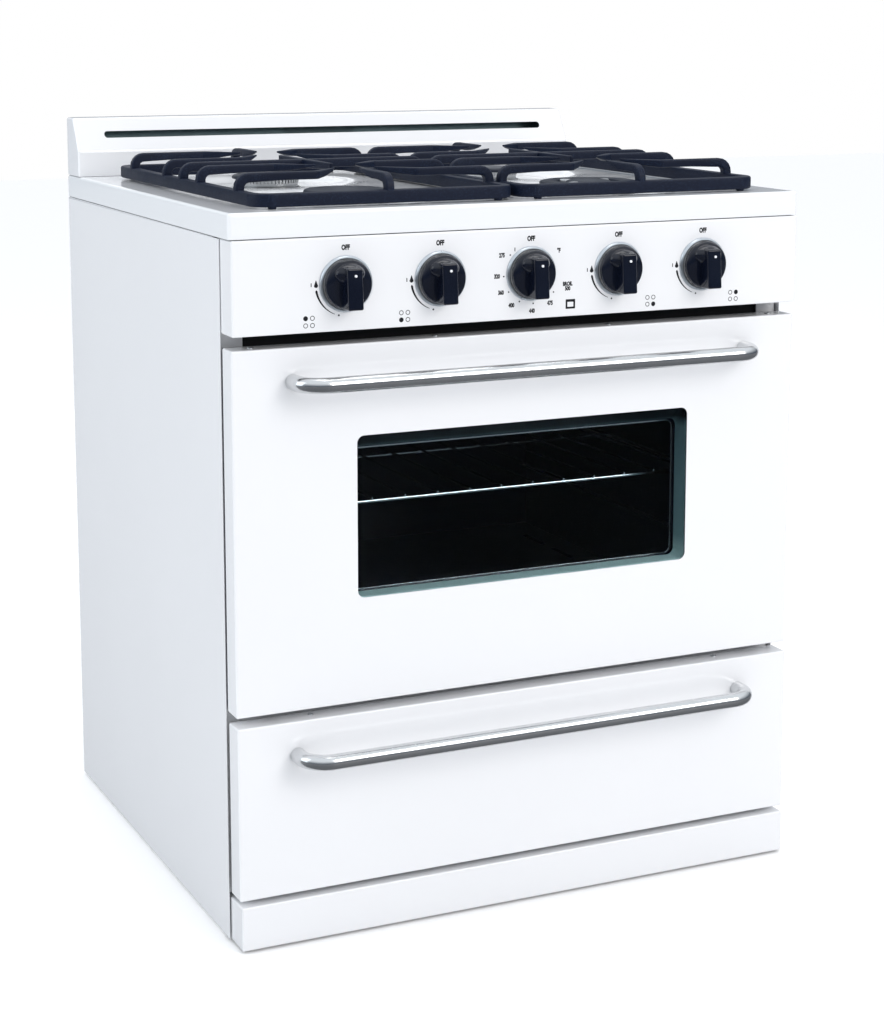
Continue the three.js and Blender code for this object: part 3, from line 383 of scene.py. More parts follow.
for place in ("front_left", "front_right", "rear_left", "rear_right"):
    low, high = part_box(f"levelling_foot_{place}")
    radius = (high.x - low.x) / 2
    centre = Vector(((low.x + high.x) / 2, (low.y + high.y) / 2, 0))
    thread = [(0, THREAD_RADIUS)]
    for index in range(THREAD_TURNS):
        height = THREAD_START + index * THREAD_PITCH
        thread += [(THREAD_RADIUS - THREAD_DEPTH, height), (THREAD_RADIUS, height + THREAD_PITCH / 2)]
    pad = revolved([(0, 0), (radius * 0.94, 0), (radius, 1.2 * MM), (radius, 4 * MM), (radius * 0.8, 6 * MM),
                    (7 * MM, 7 * MM), (0, 7 * MM)], 32)
    fitted(f"foot_pad_{place}", placed(pad, centre), MATTE_PLASTIC, f"foot_{place}", "foot_plastic",
           f"levelling_foot_{place}")
    stud = revolved([*thread, (0, high.z)], 20)
    fitted(f"foot_stud_{place}", placed(stud, centre), ZINC_SCREW, f"foot_{place}", "galvanised")


# ---------------------------------------------------------------- front frame, shade sheet and kick plate
# The white frame behind the door has square posts beside the vent gap, with a black steel sheet behind
# them that is painted shade, keeping the gap dark. The kick plate is a folded enamelled strip, turned back
# at both ends.
finish_node("front_frame", WHITE_ENAMEL)


def folded_panel(low, high, open_low=(0, 0, 0), open_high=(0, 1, 0), fold=2.0 * MM):
    """A pressed panel: rounded towards the front, hollow behind, open on the sides marked 1."""
    body = rounded_block(low, high, fold, edge_off(1, high.y))
    room_low = Vector([low[i] - CLEAR if open_low[i] else low[i] + SHEET for i in range(3)])
    room_high = Vector([high[i] + CLEAR if open_high[i] else high[i] - SHEET for i in range(3)])
    return carved(body, rounded_block(room_low, room_high, fold - SHEET, edge_off(1, room_high.y)))


kick = folded_panel(*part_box("kick_plate"), open_low=(0, 0, 1))
fitted("kick_plate_panel", kick, WHITE_ENAMEL, "casing", "white_enamel", "kick_plate", edge=0.3 * MM)

# A black sheet behind the vent gap: painted shade, where the gap would be dark.
SHADE_SHEET_BLACK = finish("black sheet of painted shade", (700.0, 12.0), (0.006, 0.007, 0.009),
                    (0.012, 0.013, 0.016), rough=(0.6, 0.75), bump=(0.1, 0.0002), IOR=1.5)
panel_low, panel_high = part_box("control_panel")
liner_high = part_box("oven_liner")[1]
door_low, door_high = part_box("door_outer_panel")
frame_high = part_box("front_frame")[1]
shade_sheet_half = frame_high.x - 26 * MM
shade_sheet = rounded_block((-shade_sheet_half, frame_high.y + 4 * MM, liner_high.z + 2 * MM),
                       (shade_sheet_half, frame_high.y + 5 * MM, panel_low.z + 30 * MM), 0.4 * MM)
fitted("vent_gap_shade_sheet", shade_sheet, SHADE_SHEET_BLACK, "casing", "oven_porcelain")


# ---------------------------------------------------------------- oven: liner, floor, burner, rack, flue
# The oven is a box of sheet steel in dark speckled porcelain enamel. A tube burner lies under its
# loose floor, fumes leave by a duct at the back, and the seal is a woven glass-fibre rope.
def speckle_group():
    """Small pale flecks in dark enamel: the middles of a few cells of a fine pattern."""
    group, given, result = new_group("enamel speckle", {"Scale": 420.0, "Amount": 0.12}, ["Fleck"])
    cells = node(group, "ShaderNodeTexVoronoi")
    split = node(group, "ShaderNodeSeparateColor")
    chosen = node(group, "ShaderNodeMath", set_operation="LESS_THAN")
    near = node(group, "ShaderNodeMath", set_operation="LESS_THAN")
    near.inputs[1].default_value = 0.28
    both = node(group, "ShaderNodeMath", set_operation="MULTIPLY")
    wire(group, given, "Vector", cells, "Vector")
    wire(group, given, "Scale", cells, "Scale")
    wire(group, cells, "Color", split, "Color")
    wire(group, split, "Green", chosen, 0)
    wire(group, given, "Amount", chosen, 1)
    wire(group, cells, "Distance", near, 0)
    wire(group, chosen, "Value", both, 0)
    wire(group, near, "Value", both, 1)
    wire(group, both, "Value", result, "Fleck")
    return group


SPECKLE = speckle_group()
PORCELAIN = finish("speckled porcelain", (220.0, 6.0), rough=(0.28, 0.4), bump=(0.08, 0.0004),
                   Coat_Weight=0.3, Coat_Roughness=0.12, IOR=1.52)
flecks = placed_group(PORCELAIN, SPECKLE, Scale=420.0, Amount=0.1)
blended(PORCELAIN, flecks, "Fleck", (0.008, 0.013, 0.036), (0.16, 0.18, 0.25))
finish_node("oven_liner", PORCELAIN)
finish_node("oven_floor", PORCELAIN)

CAST_ALUMINIUM = finish("cast aluminium", (1300.0, 30.0), (0.42, 0.43, 0.44), (0.62, 0.63, 0.64),
                        rough=(0.34, 0.5), bump=(0.35, 0.0003), Metallic=1.0)

BURNT_STEEL = finish("aluminised steel tube", (500.0, 14.0), (0.24, 0.22, 0.21), (0.5, 0.5, 0.5),
                     rough=(0.4, 0.6), Metallic=1.0)
finish_node("oven_burner", BURNT_STEEL)
finish_node("flue_duct", GALVANISED)

ROPE = new_material("woven glass-fibre rope")
weave = node(ROPE, "ShaderNodeTexWave", Scale=260.0, Distortion=1.5,
             set_wave_type="BANDS", set_bands_direction="DIAGONAL")
rope_place = node(ROPE, "ShaderNodeTexCoord")
wire(ROPE, rope_place, "Object", weave, "Vector")
blended(ROPE, weave, "Fac", (0.035, 0.035, 0.038), (0.11, 0.11, 0.115))
ranged(ROPE, weave, "Fac", 0.8, 0.95)
bumped(ROPE, weave, "Fac", 0.6, 0.0006)
finish_node("oven_door_seal", ROPE)


def rod(start, end, radius, sides=12):
    """A round rod with domed ends between two points on one axis."""
    start, end = Vector(start), Vector(end)
    run = end - start
    near_end = [(0, 0), (radius * 0.7, 0.25 * radius), (radius, radius)]
    far_end = [(across, run.length - along) for across, along in reversed(near_end)]
    bm = revolved(near_end + far_end, sides)
    turn = Vector((0, 0, 1)).rotation_difference(run).to_matrix().to_4x4()
    bmesh.ops.transform(bm, matrix=Matrix.Translation(start) @ turn, verts=bm.verts)
    return bm


CHROME_WIRE = finish("bright plated wire", (600.0, 20.0), (0.58, 0.6, 0.63), (0.78, 0.8, 0.82),
                     rough=(0.14, 0.26), Metallic=1.0)

rack_low, rack_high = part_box("oven_rack")
ROD = 2.5 * MM
WIRE = 1.8 * MM
WIRE_PITCH = 44 * MM
rod_z = rack_low.z + ROD
wire_z = rack_high.z - WIRE
rack_x = rack_high.x - ROD
rack_front = rack_low.y + ROD
rack_back = rack_high.y - ROD
rack = bmesh.new()
for x in (-rack_x, rack_x):
    appended(rack, rod((x, rack_front, rod_z), (x, rack_back, rod_z), ROD))
for y in (rack_front, (rack_front + rack_back) / 2, rack_back):
    appended(rack, rod((-rack_x - ROD, y, rod_z), (rack_x + ROD, y, rod_z), ROD))
wires = int(rack_x / WIRE_PITCH)
for x in [index * WIRE_PITCH for index in range(-wires, wires + 1)]:
    appended(rack, rod((x, rack_front - WIRE, wire_z), (x, rack_back + WIRE, wire_z), WIRE, 10))
fitted("rack_wires", rack, CHROME_WIRE, "rack", "bright_wire", "oven_rack", smooth_angle=60)


# ---------------------------------------------------------------- gas train
# A pipe across the front feeds four brass valves and the oven's thermostat from a pressure
# regulator at the back. Each valve's stem comes forward through the control panel.
BRASS = finish("machined brass", (900.0, 60.0), (0.55, 0.40, 0.17), (0.72, 0.56, 0.27), rough=(0.25, 0.38),
               Metallic=1.0)
CONTROLS = ("rear_left", "front_left", "oven", "front_right", "rear_right")
for place in CONTROLS:
    finish_node("oven_thermostat" if place == "oven" else f"burner_valve_{place}", BRASS)
    finish_node(f"valve_stem_{place}", BRASS)
finish_node("gas_manifold", GALVANISED)
finish_node("pressure_regulator", CAST_ALUMINIUM)


# ---------------------------------------------------------------- control panel and its printing
# A folded enamelled panel with a hole for each stem. Marks for the flame and the oven's heat are
# screen printed in black on it before the last firing.
STEM_HOLE = 6.5 * MM
panel = folded_panel(panel_low, panel_high, open_low=(0, 0, 1))
knob_places = {}
holes = []
for place in CONTROLS:
    low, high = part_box(f"knob_{place}")
    stem_low, stem_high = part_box(f"valve_stem_{place}")
    centre = Vector((stem_low.x + stem_high.x, 2 * high.y, stem_low.z + stem_high.z)) / 2
    knob_places[place] = centre
    hole = revolved([(0, 0), (STEM_HOLE, 0), (STEM_HOLE, 2 * CLEAR), (0, 2 * CLEAR)], 32)
    holes.append(placed(hole, (centre.x, panel_low.y + CLEAR, centre.z), "-y"))
fitted("control_panel_sheet", carved(panel, *holes), WHITE_ENAMEL, "casing", "white_enamel",
       "control_panel", edge=0.3 * MM)

PRINT = finish("black print", (900.0, 300.0), (0.006, 0.006, 0.008), (0.02, 0.02, 0.024), rough=(0.3, 0.45),
               IOR=1.5, Specular_IOR_Level=0.2)
INK = 0.06 * MM
CAPITAL_SHARE = 0.69  # how high a capital stands in the lettering's own size


def standing(bm, x, z):
    """Stands a flat drawing made in X and Y on the control panel's face."""
    return placed(bm, (x, panel_low.y, z), "-y")


def lettering(text, height, narrow=0.72):
    """Numbers and plain words as a thin solid, centred on the origin."""
    curve = bpy.data.curves.new("text", "FONT")
    curve.body = text
    curve.align_x = "CENTER"
    curve.align_y = "CENTER"
    curve.size = height / CAPITAL_SHARE
    curve.space_line = 0.85
    curve.extrude = INK
    curve.offset = 0.09 * height
    curve.resolution_u = 3
    drawn_text = bpy.data.objects.new("text", curve)
    bpy.context.scene.collection.objects.link(drawn_text)
    bpy.context.view_layer.update()
    graph = bpy.context.evaluated_depsgraph_get()
    mesh = bpy.data.meshes.new_from_object(drawn_text.evaluated_get(graph))
    bpy.data.objects.remove(drawn_text)
    bpy.data.curves.remove(curve)
    bm = bmesh.new()
    bm.from_mesh(mesh)
    bpy.data.meshes.remove(mesh)
    bmesh.ops.scale(bm, vec=(narrow, 1, 1), verts=bm.verts)
    bmesh.ops.remove_doubles(bm, verts=bm.verts, dist=1e-7)
    return bm


def made_of(result, kind):
    """The vertices, edges or faces among what an operator made."""
    return [item for item in result["geom"] if isinstance(item, kind)]


def raised(bm):
    """Turns a flat drawing into a thin solid of ink."""
    made = bmesh.ops.extrude_face_region(bm, geom=bm.faces[:])
    bmesh.ops.translate(bm, vec=(0, 0, INK), verts=made_of(made, bmesh.types.BMVert))
    bmesh.ops.recalc_face_normals(bm, faces=bm.faces)
    return bm


def dot(radius, x=0.0, y=0.0, hollow=0.0):
    """A printed spot, or a ring when it is hollow."""
    bm = bmesh.new()
    bmesh.ops.create_circle(bm, cap_ends=True, segments=20, radius=radius)
    if hollow:
        wall = radius - hollow
        inset = bmesh.ops.inset_region(bm, faces=bm.faces[:], thickness=wall, use_boundary=True)
        middle = [face for face in bm.faces if face not in inset["faces"]]
        bmesh.ops.delete(bm, geom=middle, context="FACES")
    return raised(moved(bm, x, y))


def bar_mark(width, height, x=0.0, y=0.0):
    """A printed rectangle."""
    bm = bmesh.new()
    bmesh.ops.create_grid(bm, x_segments=1, y_segments=1, size=0.5)
    bmesh.ops.scale(bm, vec=(width, height, 1), verts=bm.verts)
    return raised(moved(bm, x, y))


def flame_mark(x, y, height):
    """A small flame: a spot drawn up to a point."""
    radius = height * 0.32
    bm = bmesh.new()
    bmesh.ops.create_circle(bm, cap_ends=True, segments=16, radius=radius)
    for vert in bm.verts:
        rise = max(vert.co.y, 0.0) / radius
        vert.co.y += rise ** 2 * height * 0.45
        vert.co.x *= 1 - 0.55 * rise
    return raised(moved(bm, x, y - height * 0.12))


def turned(bm, angle):
    bmesh.ops.rotate(bm, cent=(0, 0, 0), matrix=Matrix.Rotation(angle, 3, "Z"), verts=bm.verts)
    return bm


def sweep_mark(radius, start, end, thick, thin, steps=28):
    """An arc round a knob that runs from thick to thin."""
    bm = bmesh.new()
    inner = bm.verts.new((radius - thick / 2, 0, 0))
    outer = bm.verts.new((radius + thick / 2, 0, 0))
    edge = bm.edges.new((inner, outer))
    turned(bm, start)
    bmesh.ops.spin(bm, geom=[inner, outer, edge], cent=(0, 0, 0), axis=(0, 0, 1),
                   angle=end - start, steps=steps)
    for vert in bm.verts:
        angle = (math.atan2(vert.co.y, vert.co.x) - start) % math.tau
        share = min(angle / (end - start), 1.0)
        width = thick + (thin - thick) * share
        away = vert.co.length - radius
        vert.co *= (radius + math.copysign(width / 2, away)) / vert.co.length
    bmesh.ops.recalc_face_normals(bm, faces=bm.faces)
    return raised(bm)


def burner_mark(x, y, filled):
    """Four rings in a square for the four burners, the one that the knob feeds filled in."""
    spacing = 8.4 * MM
    bm = bmesh.new()
    for column in (0, 1):
        for row in (0, 1):
            hollow = 0.0 if (column, row) == filled else 2.1 * MM
            centre = (x + (column - 0.5) * spacing, y + (row - 0.5) * spacing)
            appended(bm, dot(2.9 * MM, *centre, hollow=hollow))
    return bm


def polar(radius, degrees):
    """A place on a circle, counted anticlockwise from the right."""
    return radius * math.cos(math.radians(degrees)), radius * math.sin(math.radians(degrees))


OFF_RISE = 42 * MM
SWEEP = 37.3 * MM
BURNER_MARKS = {
    "rear_left": (-46 * MM, (0, 1)),
    "front_left": (-46 * MM, (0, 0)),
    "front_right": (46 * MM, (1, 0)),
    "rear_right": (46 * MM, (1, 1)),
}
for place, (mark_x, filled) in BURNER_MARKS.items():
    marks = moved(lettering("OFF", 5.6 * MM), 0, OFF_RISE)
    appended(marks, flame_mark(-37 * MM, 0.5 * MM, 8 * MM))
    appended(marks, bar_mark(1.1 * MM, 4.5 * MM, -43 * MM, 0.5 * MM))
    appended(marks, sweep_mark(SWEEP, math.radians(189), math.radians(248), 2.8 * MM, 0.6 * MM))
    appended(marks, dot(1.1 * MM, *polar(SWEEP, 256)), burner_mark(mark_x, -42 * MM, filled))
    centre = knob_places[place]
    fitted(f"printing_{place}", standing(marks, centre.x, centre.z), PRINT, "casing", "knob_plastic")

# A heat's number, its number's angle and its dot's angle round the oven's knob.
OVEN_HEATS = (("275", 149, 140), ("320", 182, 183), ("360", 208, 215),
              ("400", 235, 245), ("440", 272, 275), ("475", 305, 305))
HEAT_RADIUS = 45.5 * MM
HEAT_DOTS = 36.5 * MM
marks = moved(lettering("OFF", 5.6 * MM), 0, OFF_RISE)
for label, angle, dot_angle in OVEN_HEATS:
    appended(marks, moved(lettering(label, 4.8 * MM), *polar(HEAT_RADIUS, angle)))
    appended(marks, dot(1.0 * MM, *polar(HEAT_DOTS, dot_angle)))
appended(marks, dot(1.0 * MM, *polar(39 * MM, 322)), bar_mark(1.1 * MM, 4.5 * MM, *polar(37 * MM, 126)))
appended(marks, moved(lettering("BROIL\n500", 4.6 * MM), 50 * MM, -18 * MM))
appended(marks, moved(lettering("°F", 5.0 * MM), 37.5 * MM, 26 * MM))

# The oven's sign: a box with a thick top, a thinner bottom and two sides.
SIGN_WIDTH = 13 * MM
SIGN_SIDE = 2.4 * MM
SIGN_RISE = 4.4 * MM
sign = Vector((54 * MM, -40 * MM))
appended(marks, bar_mark(SIGN_WIDTH, 3.2 * MM, sign.x, sign.y + SIGN_RISE),
         bar_mark(SIGN_WIDTH, SIGN_SIDE, sign.x, sign.y - SIGN_RISE))
for x in (sign.x - (SIGN_WIDTH - SIGN_SIDE) / 2, sign.x + (SIGN_WIDTH - SIGN_SIDE) / 2):
    appended(marks, bar_mark(SIGN_SIDE, 7 * MM, x, sign.y))
centre = knob_places["oven"]
fitted("printing_oven", standing(marks, centre.x, centre.z), PRINT, "casing", "knob_plastic")


# ---------------------------------------------------------------- knobs and their bezels
# Each knob is moulded in gloss black: a domed skirt, a grip bar across it with a round shoulder at
# its upper end, and a white spot to read the setting by. A satin metal bezel is clipped behind it.
def united(bm, *others):
    return combined(bm, others, "UNION")


GLOSS_BLACK = finish("gloss black plastic", (240.0, 25.0), (0.002, 0.003, 0.009), (0.005, 0.008, 0.018),
                     rough=(0.1, 0.2), bump=(0.03, 0.0003), IOR=1.5, Coat_Weight=0.25, Coat_Roughness=0.04,
                     Specular_IOR_Level=0.35)

SATIN_METAL = finish("satin aluminium bezel", (1600.0, 80.0), (0.50, 0.55, 0.59), (0.66, 0.70, 0.74),
                     rough=(0.24, 0.34), bump=(0.1, 0.0001), Metallic=1.0)

WHITE_DOT = finish("white filled spot", (900.0, 400.0), (0.75, 0.77, 0.8), (0.9, 0.92, 0.95), Roughness=0.4)

GRIP_HALF = 10.5 * MM
SKIRT_HEIGHT = 9 * MM
SPOT_RISE = 12 * MM
BEZEL_GAP = 0.6 * MM


def knob_skirt(radius):
    """The knob's round skirt, falling away to its rim in soft steps; drops are from its middle."""
    rim = ((9.0, 0.7), (4.0, 1.6), (1.8, 2.6), (0.6, 3.8), (0.0, 5.4), (0.0, 8.0))
    outline = [(radius - inwards * MM, SKIRT_HEIGHT - drop * MM) for inwards, drop in reversed(rim)]
    return revolved([(0, 0), (radius * 0.97, 0), *outline, (0, SKIRT_HEIGHT)], 64)


def knob_grip(radius, depth):
    """The bar that fingers hold: narrower towards its face, and sloped down at its upper end."""
    low = Vector((-GRIP_HALF, -radius + 1.2 * MM, 2 * MM))
    high = Vector((GRIP_HALF, radius - 8 * MM, depth))
    grip = rounded_block(low, high, 2.4 * MM, edge_off(2, low.z), 4)
    for vert in grip.verts:
        vert.co.x *= 1 - 0.1 * vert.co.z / depth
        if vert.co.y > radius * 0.3 and vert.co.z > depth * 0.4:
            vert.co.z -= (vert.co.y / radius - 0.3) * 10 * MM
    return grip


def knob_shoulder():
    """A flattened dome that runs the grip into the skirt at its upper end."""
    dome = bmesh.new()
    bmesh.ops.create_uvsphere(dome, u_segments=40, v_segments=24, radius=1.0)
    bmesh.ops.scale(dome, vec=(20 * MM, 13 * MM, 16 * MM), verts=dome.verts)
    moved(dome, 0, 12.5 * MM, 3 * MM)
    bmesh.ops.bisect_plane(dome, geom=dome.verts[:] + dome.edges[:] + dome.faces[:], dist=1e-6,
                           plane_co=(0, 0, 1 * MM), plane_no=(0, 0, -1), clear_outer=True)
    bmesh.ops.holes_fill(dome, edges=[edge for edge in dome.edges if edge.is_boundary], sides=0)
    return dome


for place in CONTROLS:
    low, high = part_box(f"knob_{place}")
    radius = (high.x - low.x) / 2
    depth = high.y - low.y
    back = knob_places[place]
    body = united(knob_skirt(radius), knob_shoulder(), knob_grip(radius, depth))
    fitted(f"knob_moulding_{place}", placed(body, back, "-y"), GLOSS_BLACK, f"knob_{place}", "knob_plastic",
           f"knob_{place}", edge=0.5 * MM)
    spot = revolved([(0, -1 * MM), (1.5 * MM, -1 * MM), (1.5 * MM, 0.35 * MM), (1.2 * MM, 0.5 * MM),
                     (0, 0.55 * MM)], 20)
    spot_place = back + Vector((0, -depth + 1.2 * MM, SPOT_RISE))
    fitted(f"knob_spot_{place}", placed(spot, spot_place, "-y"), WHITE_DOT, f"knob_{place}", "knob_plastic")
    inside = radius + BEZEL_GAP
    ring = revolved([(inside, 0), (inside + 3.6 * MM, 0), (inside + 3.6 * MM, 1.0 * MM),
                     (inside + 2.6 * MM, 3.2 * MM), (inside + 1.0 * MM, 4.2 * MM), (inside, 4.0 * MM)], 72)
    ring_place = (back.x, panel_low.y, back.z)
    fitted(f"bezel_{place}", placed(ring, ring_place, "-y"), SATIN_METAL, "casing", "cast_aluminium")


# ---------------------------------------------------------------- cooktop
# One pressing in gloss enamel: a deep turned-down edge, and a round dished well for each burner
# whose rims run softly into each other.
COOKTOP_ENAMEL = enamel("cooktop enamel", (0.775, 0.795, 0.815), (0.81, 0.825, 0.842), (0.1, 0.16))
BURNERS = ("front_left", "rear_left", "front_right", "rear_right")
WELL_RADIUS = 126 * MM
WELL_SLOPE = 34 * MM
WELL_DEPTH = 8.6 * MM
COOKTOP_SHEET = 1.2 * MM
BURNER_HOLE = 24 * MM
FLUE_MOUTH = 36 * MM
TOP_FOLD = 4.0 * MM
top_low, top_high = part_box("cooktop")
burner_places = {}
for place in BURNERS:
    low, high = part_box(f"burner_cap_{place}")
    burner_places[place] = (low + high) / 2

top = bmesh.new()
bmesh.ops.create_grid(top, x_segments=110, y_segments=98, size=0.5)
bmesh.ops.scale(top, vec=(top_high.x - top_low.x, top_high.y - top_low.y, 1), verts=top.verts)
moved(top, 0, (top_low.y + top_high.y) / 2, top_high.z)
skirt = bmesh.ops.extrude_edge_only(top, edges=[edge for edge in top.edges if edge.is_boundary])
bmesh.ops.translate(top, vec=(0, 0, top_low.z - top_high.z), verts=made_of(skirt, bmesh.types.BMVert))
bmesh.ops.recalc_face_normals(top, faces=top.faces)
sharp = [edge for edge in top.edges if len(edge.link_faces) == 2 and edge.calc_face_angle() > 1.0]
bevelled(top, sharp, TOP_FOLD, 4)
for vert in top.verts:
    if vert.co.z < top_high.z - 0.1 * MM:
        continue
    away = min((vert.co.xy - place.xy).length for place in burner_places.values())
    share = min(max((WELL_RADIUS - away) / WELL_SLOPE, 0.0), 1.0)
    vert.co.z -= WELL_DEPTH * share * share * (3 - 2 * share)
if sum(face.normal.z for face in top.faces) < 0:
    bmesh.ops.reverse_faces(top, faces=top.faces)
bmesh.ops.solidify(top, geom=top.faces[:], thickness=COOKTOP_SHEET)
cutters = []
for place in burner_places.values():
    hole = revolved([(0, 0), (BURNER_HOLE, 0), (BURNER_HOLE, 6 * CLEAR), (0, 6 * CLEAR)], 40)
    cutters.append(placed(hole, (place.x, place.y, top_high.z - 4 * CLEAR)))
flue_low, flue_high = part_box("flue_duct")
margin = Vector((4 * MM, 4 * MM, 2 * CLEAR))
cutters.append(rounded_block(Vector((flue_low.x, flue_high.y - FLUE_MOUTH, top_high.z)) - margin,
                             Vector((flue_high.x, flue_high.y, top_high.z)) + margin))
fitted("cooktop_pressing", carved(top, *cutters), COOKTOP_ENAMEL, "casing", "cooktop_enamel", "cooktop",
       smooth_angle=50)


# ---------------------------------------------------------------- backguard and vent
# A folded enamelled box along the back of the cooktop. It leans back above a soft bend, and a long
# slot with round ends lets the oven's fumes out of a grey steel channel behind it.
guard_low, guard_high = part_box("backguard")
KNEE = 35 * MM
LEAN = 25 * MM
GUARD_FOLD = 3.0 * MM
SLOT_DROP = 23 * MM
SLOT_INSET = 41 * MM
SLOT_HALF_HEIGHT = 4.5 * MM


def guard_prism(inset):
    """The backguard's side outline, drawn in by a wall and extruded along X."""
    bm = bmesh.new()
    front = guard_low.y + inset
    back = guard_high.y - inset
    bottom = guard_low.z - inset
    knee = guard_low.z + KNEE
    top_edge = guard_high.z - inset
    outline = [(front, bottom), (front, knee), (front + LEAN, top_edge), (back, top_edge), (back, bottom)]
    face = bm.faces.new([bm.verts.new((guard_low.x + inset, y, z)) for y, z in outline])
    length = guard_high.x - guard_low.x - 2 * inset
    made = bmesh.ops.extrude_face_region(bm, geom=[face])
    bmesh.ops.translate(bm, vec=(length, 0, 0), verts=made_of(made, bmesh.types.BMVert))
    bmesh.ops.recalc_face_normals(bm, faces=bm.faces)
    return bevelled(bm, [edge for edge in bm.edges if edge_off(2, bottom)(edge)], GUARD_FOLD - inset, 4)


slot_z = guard_high.z - SLOT_DROP
slot_cut = rounded_block((guard_low.x + SLOT_INSET, guard_low.y - CLEAR, slot_z - SLOT_HALF_HEIGHT),
                         (guard_high.x - SLOT_INSET, guard_low.y + 3 * CLEAR, slot_z + SLOT_HALF_HEIGHT),
                         4.3 * MM, edge_along(1), 8)
guard = carved(guard_prism(0.0), guard_prism(SHEET), slot_cut)
fitted("backguard_sheet", guard, WHITE_ENAMEL, "casing", "white_enamel", "backguard", edge=0.25 * MM)

VENT_STEEL = finish("blued vent steel", (300.0, 5.0), (0.09, 0.14, 0.15), (0.2, 0.27, 0.29),
                    rough=(0.3, 0.45), Metallic=0.75)
finish_node("backguard_vent", VENT_STEEL)


# ---------------------------------------------------------------- burners
# Each burner is a cast aluminium head with a ring of flame ports under a black enamelled steel
# cap. The large one has a ring of its own round a small inner burner.
CAP_ENAMEL = finish("satin black enamel", (900.0, 18.0), (0.005, 0.008, 0.017), (0.012, 0.017, 0.032),
                    rough=(0.34, 0.48), bump=(0.12, 0.0002), IOR=1.5, Specular_IOR_Level=0.3)


def ported(bm, centre, radius, z, count, width=1.7 * MM, height=4.5 * MM, reach=4.0 * MM):
    """Cuts a ring of upright flame ports into the wall of a head."""
    ports = bmesh.new()
    for index in range(count):
        port = rounded_block((radius - reach, -width / 2, z - height / 2),
                             (radius + reach, width / 2, z + height / 2))
        appended(ports, turned(port, math.tau * index / count))
    return carved(bm, moved(ports, centre.x, centre.y))


def cap_profile(outer, low_z, high_z, hole=0.0):
    """A pressed cap's section, rounded at its rim."""
    rise = high_z - low_z
    rim = [(outer - 1.5 * MM, low_z), (outer - 0.4 * MM, low_z + 0.4 * MM), (outer, low_z + 1.4 * MM),
           (outer - 0.2 * MM, low_z + rise * 0.45), (outer - 1.4 * MM, low_z + rise * 0.72),
           (outer - 4 * MM, low_z + rise * 0.88)]
    if hole:
        return [(hole, low_z + 1 * MM), (hole + 1 * MM, low_z), *rim,
                (hole + 3 * MM, high_z - 0.5 * MM), (hole + 0.6 * MM, high_z - 1.6 * MM)]
    return [(0, low_z), *rim, (outer * 0.6, high_z - 0.15 * MM), (0, high_z)]


RING_HOLE = 42 * MM
THROAT = 20 * MM
PORT_PITCH = 5.0 * MM
for place, centre in burner_places.items():
    head_low, head_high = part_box(f"burner_head_{place}")
    cap_low, cap_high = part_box(f"burner_cap_{place}")
    wall = (head_high.x - head_low.x) / 2
    seat = top_high.z - WELL_DEPTH + 0.2 * MM
    head_top = head_high.z
    ringed = place == "front_right"
    profile = [
        (0, head_low.z), (THROAT, head_low.z), (THROAT, seat), (wall + 1.5 * MM, seat),
        (wall + 1.5 * MM, seat + 1.6 * MM), (wall - 1.5 * MM, seat + 2.6 * MM),
        (wall - 2.5 * MM, seat + 4 * MM), (wall - 1.0 * MM, head_top - 3 * MM),
        (wall - 1.0 * MM, head_top), (0, head_top),
    ]
    head = moved(revolved(profile, 72), centre.x, centre.y)
    count = 2 * int(math.pi * wall / PORT_PITCH)
    head = ported(head, centre, wall, head_top - 2.6 * MM, count)
    if ringed:
        floor_z = seat + 3 * MM
        rim_z = head_top + 1 * MM
        groove = revolved([(31 * MM, floor_z), (41 * MM, floor_z), (41 * MM, rim_z), (31 * MM, rim_z)], 64)
        head = carved(head, moved(groove, centre.x, centre.y))
        for index in range(4):
            bridge = rounded_block((28 * MM, -4.5 * MM, seat + 2 * MM),
                                   (43 * MM, 4.5 * MM, cap_high.z - 0.5 * MM), 2 * MM)
            turned(bridge, math.radians(28 + 90 * index))
            appended(head, moved(bridge, centre.x, centre.y))
    fitted(f"burner_casting_{place}", head, CAST_ALUMINIUM, "casing", "cast_aluminium",
           f"burner_head_{place}", smooth_angle=35)
    outer = (cap_high.x - cap_low.x) / 2
    section = cap_profile(outer, cap_low.z, cap_high.z, RING_HOLE if ringed else 0.0)
    cap = moved(revolved(section, 72), centre.x, centre.y)
    fitted(f"burner_lid_{place}", cap, CAP_ENAMEL, f"cap_{place}", "black_cap_enamel",
           f"burner_cap_{place}", smooth_angle=50)
inner_low, inner_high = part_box("burner_inner_cap")
centre = burner_places["front_right"]
section = cap_profile((inner_high.x - inner_low.x) / 2, inner_low.z, inner_high.z)
inner_lid = moved(revolved(section, 64), centre.x, centre.y)
fitted("burner_lid_inner", inner_lid, CAP_ENAMEL, "cap_front_right", "black_cap_enamel",
       "burner_inner_cap", smooth_angle=50)


# ---------------------------------------------------------------- grates
# Two iron castings in matte black enamel. Each has a square rail with a chamfered top, and fingers
# that rise from it in a round bend, run level, and taper towards the burners.
IRON = finish("matte enamelled cast iron", (1500.0, 20.0), rough=(0.42, 0.56), bump=(0.5, 0.0003),
              IOR=1.5, Specular_IOR_Level=0.2)
grit = placed_group(IRON, SPECKLE, Scale=900.0, Amount=0.35)
blended(IRON, grit, "Fleck", (0.003, 0.007, 0.022), (0.028, 0.048, 0.095))

grate_low, grate_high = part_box("grate_right")
RAIL = Vector((12 * MM, 16 * MM))
PAD = 2 * MM
FINGER = Vector((11 * MM, 11.5 * MM))
BEND = 12 * MM
OFFSET = 70 * MM
REACH = 46 * MM
rail_base = grate_low.z + PAD
rail_top = rail_base + RAIL.y
finger_top = grate_high.z
middle_y = (grate_low.y + grate_high.y) / 2
right_burner = burner_places["front_right"]


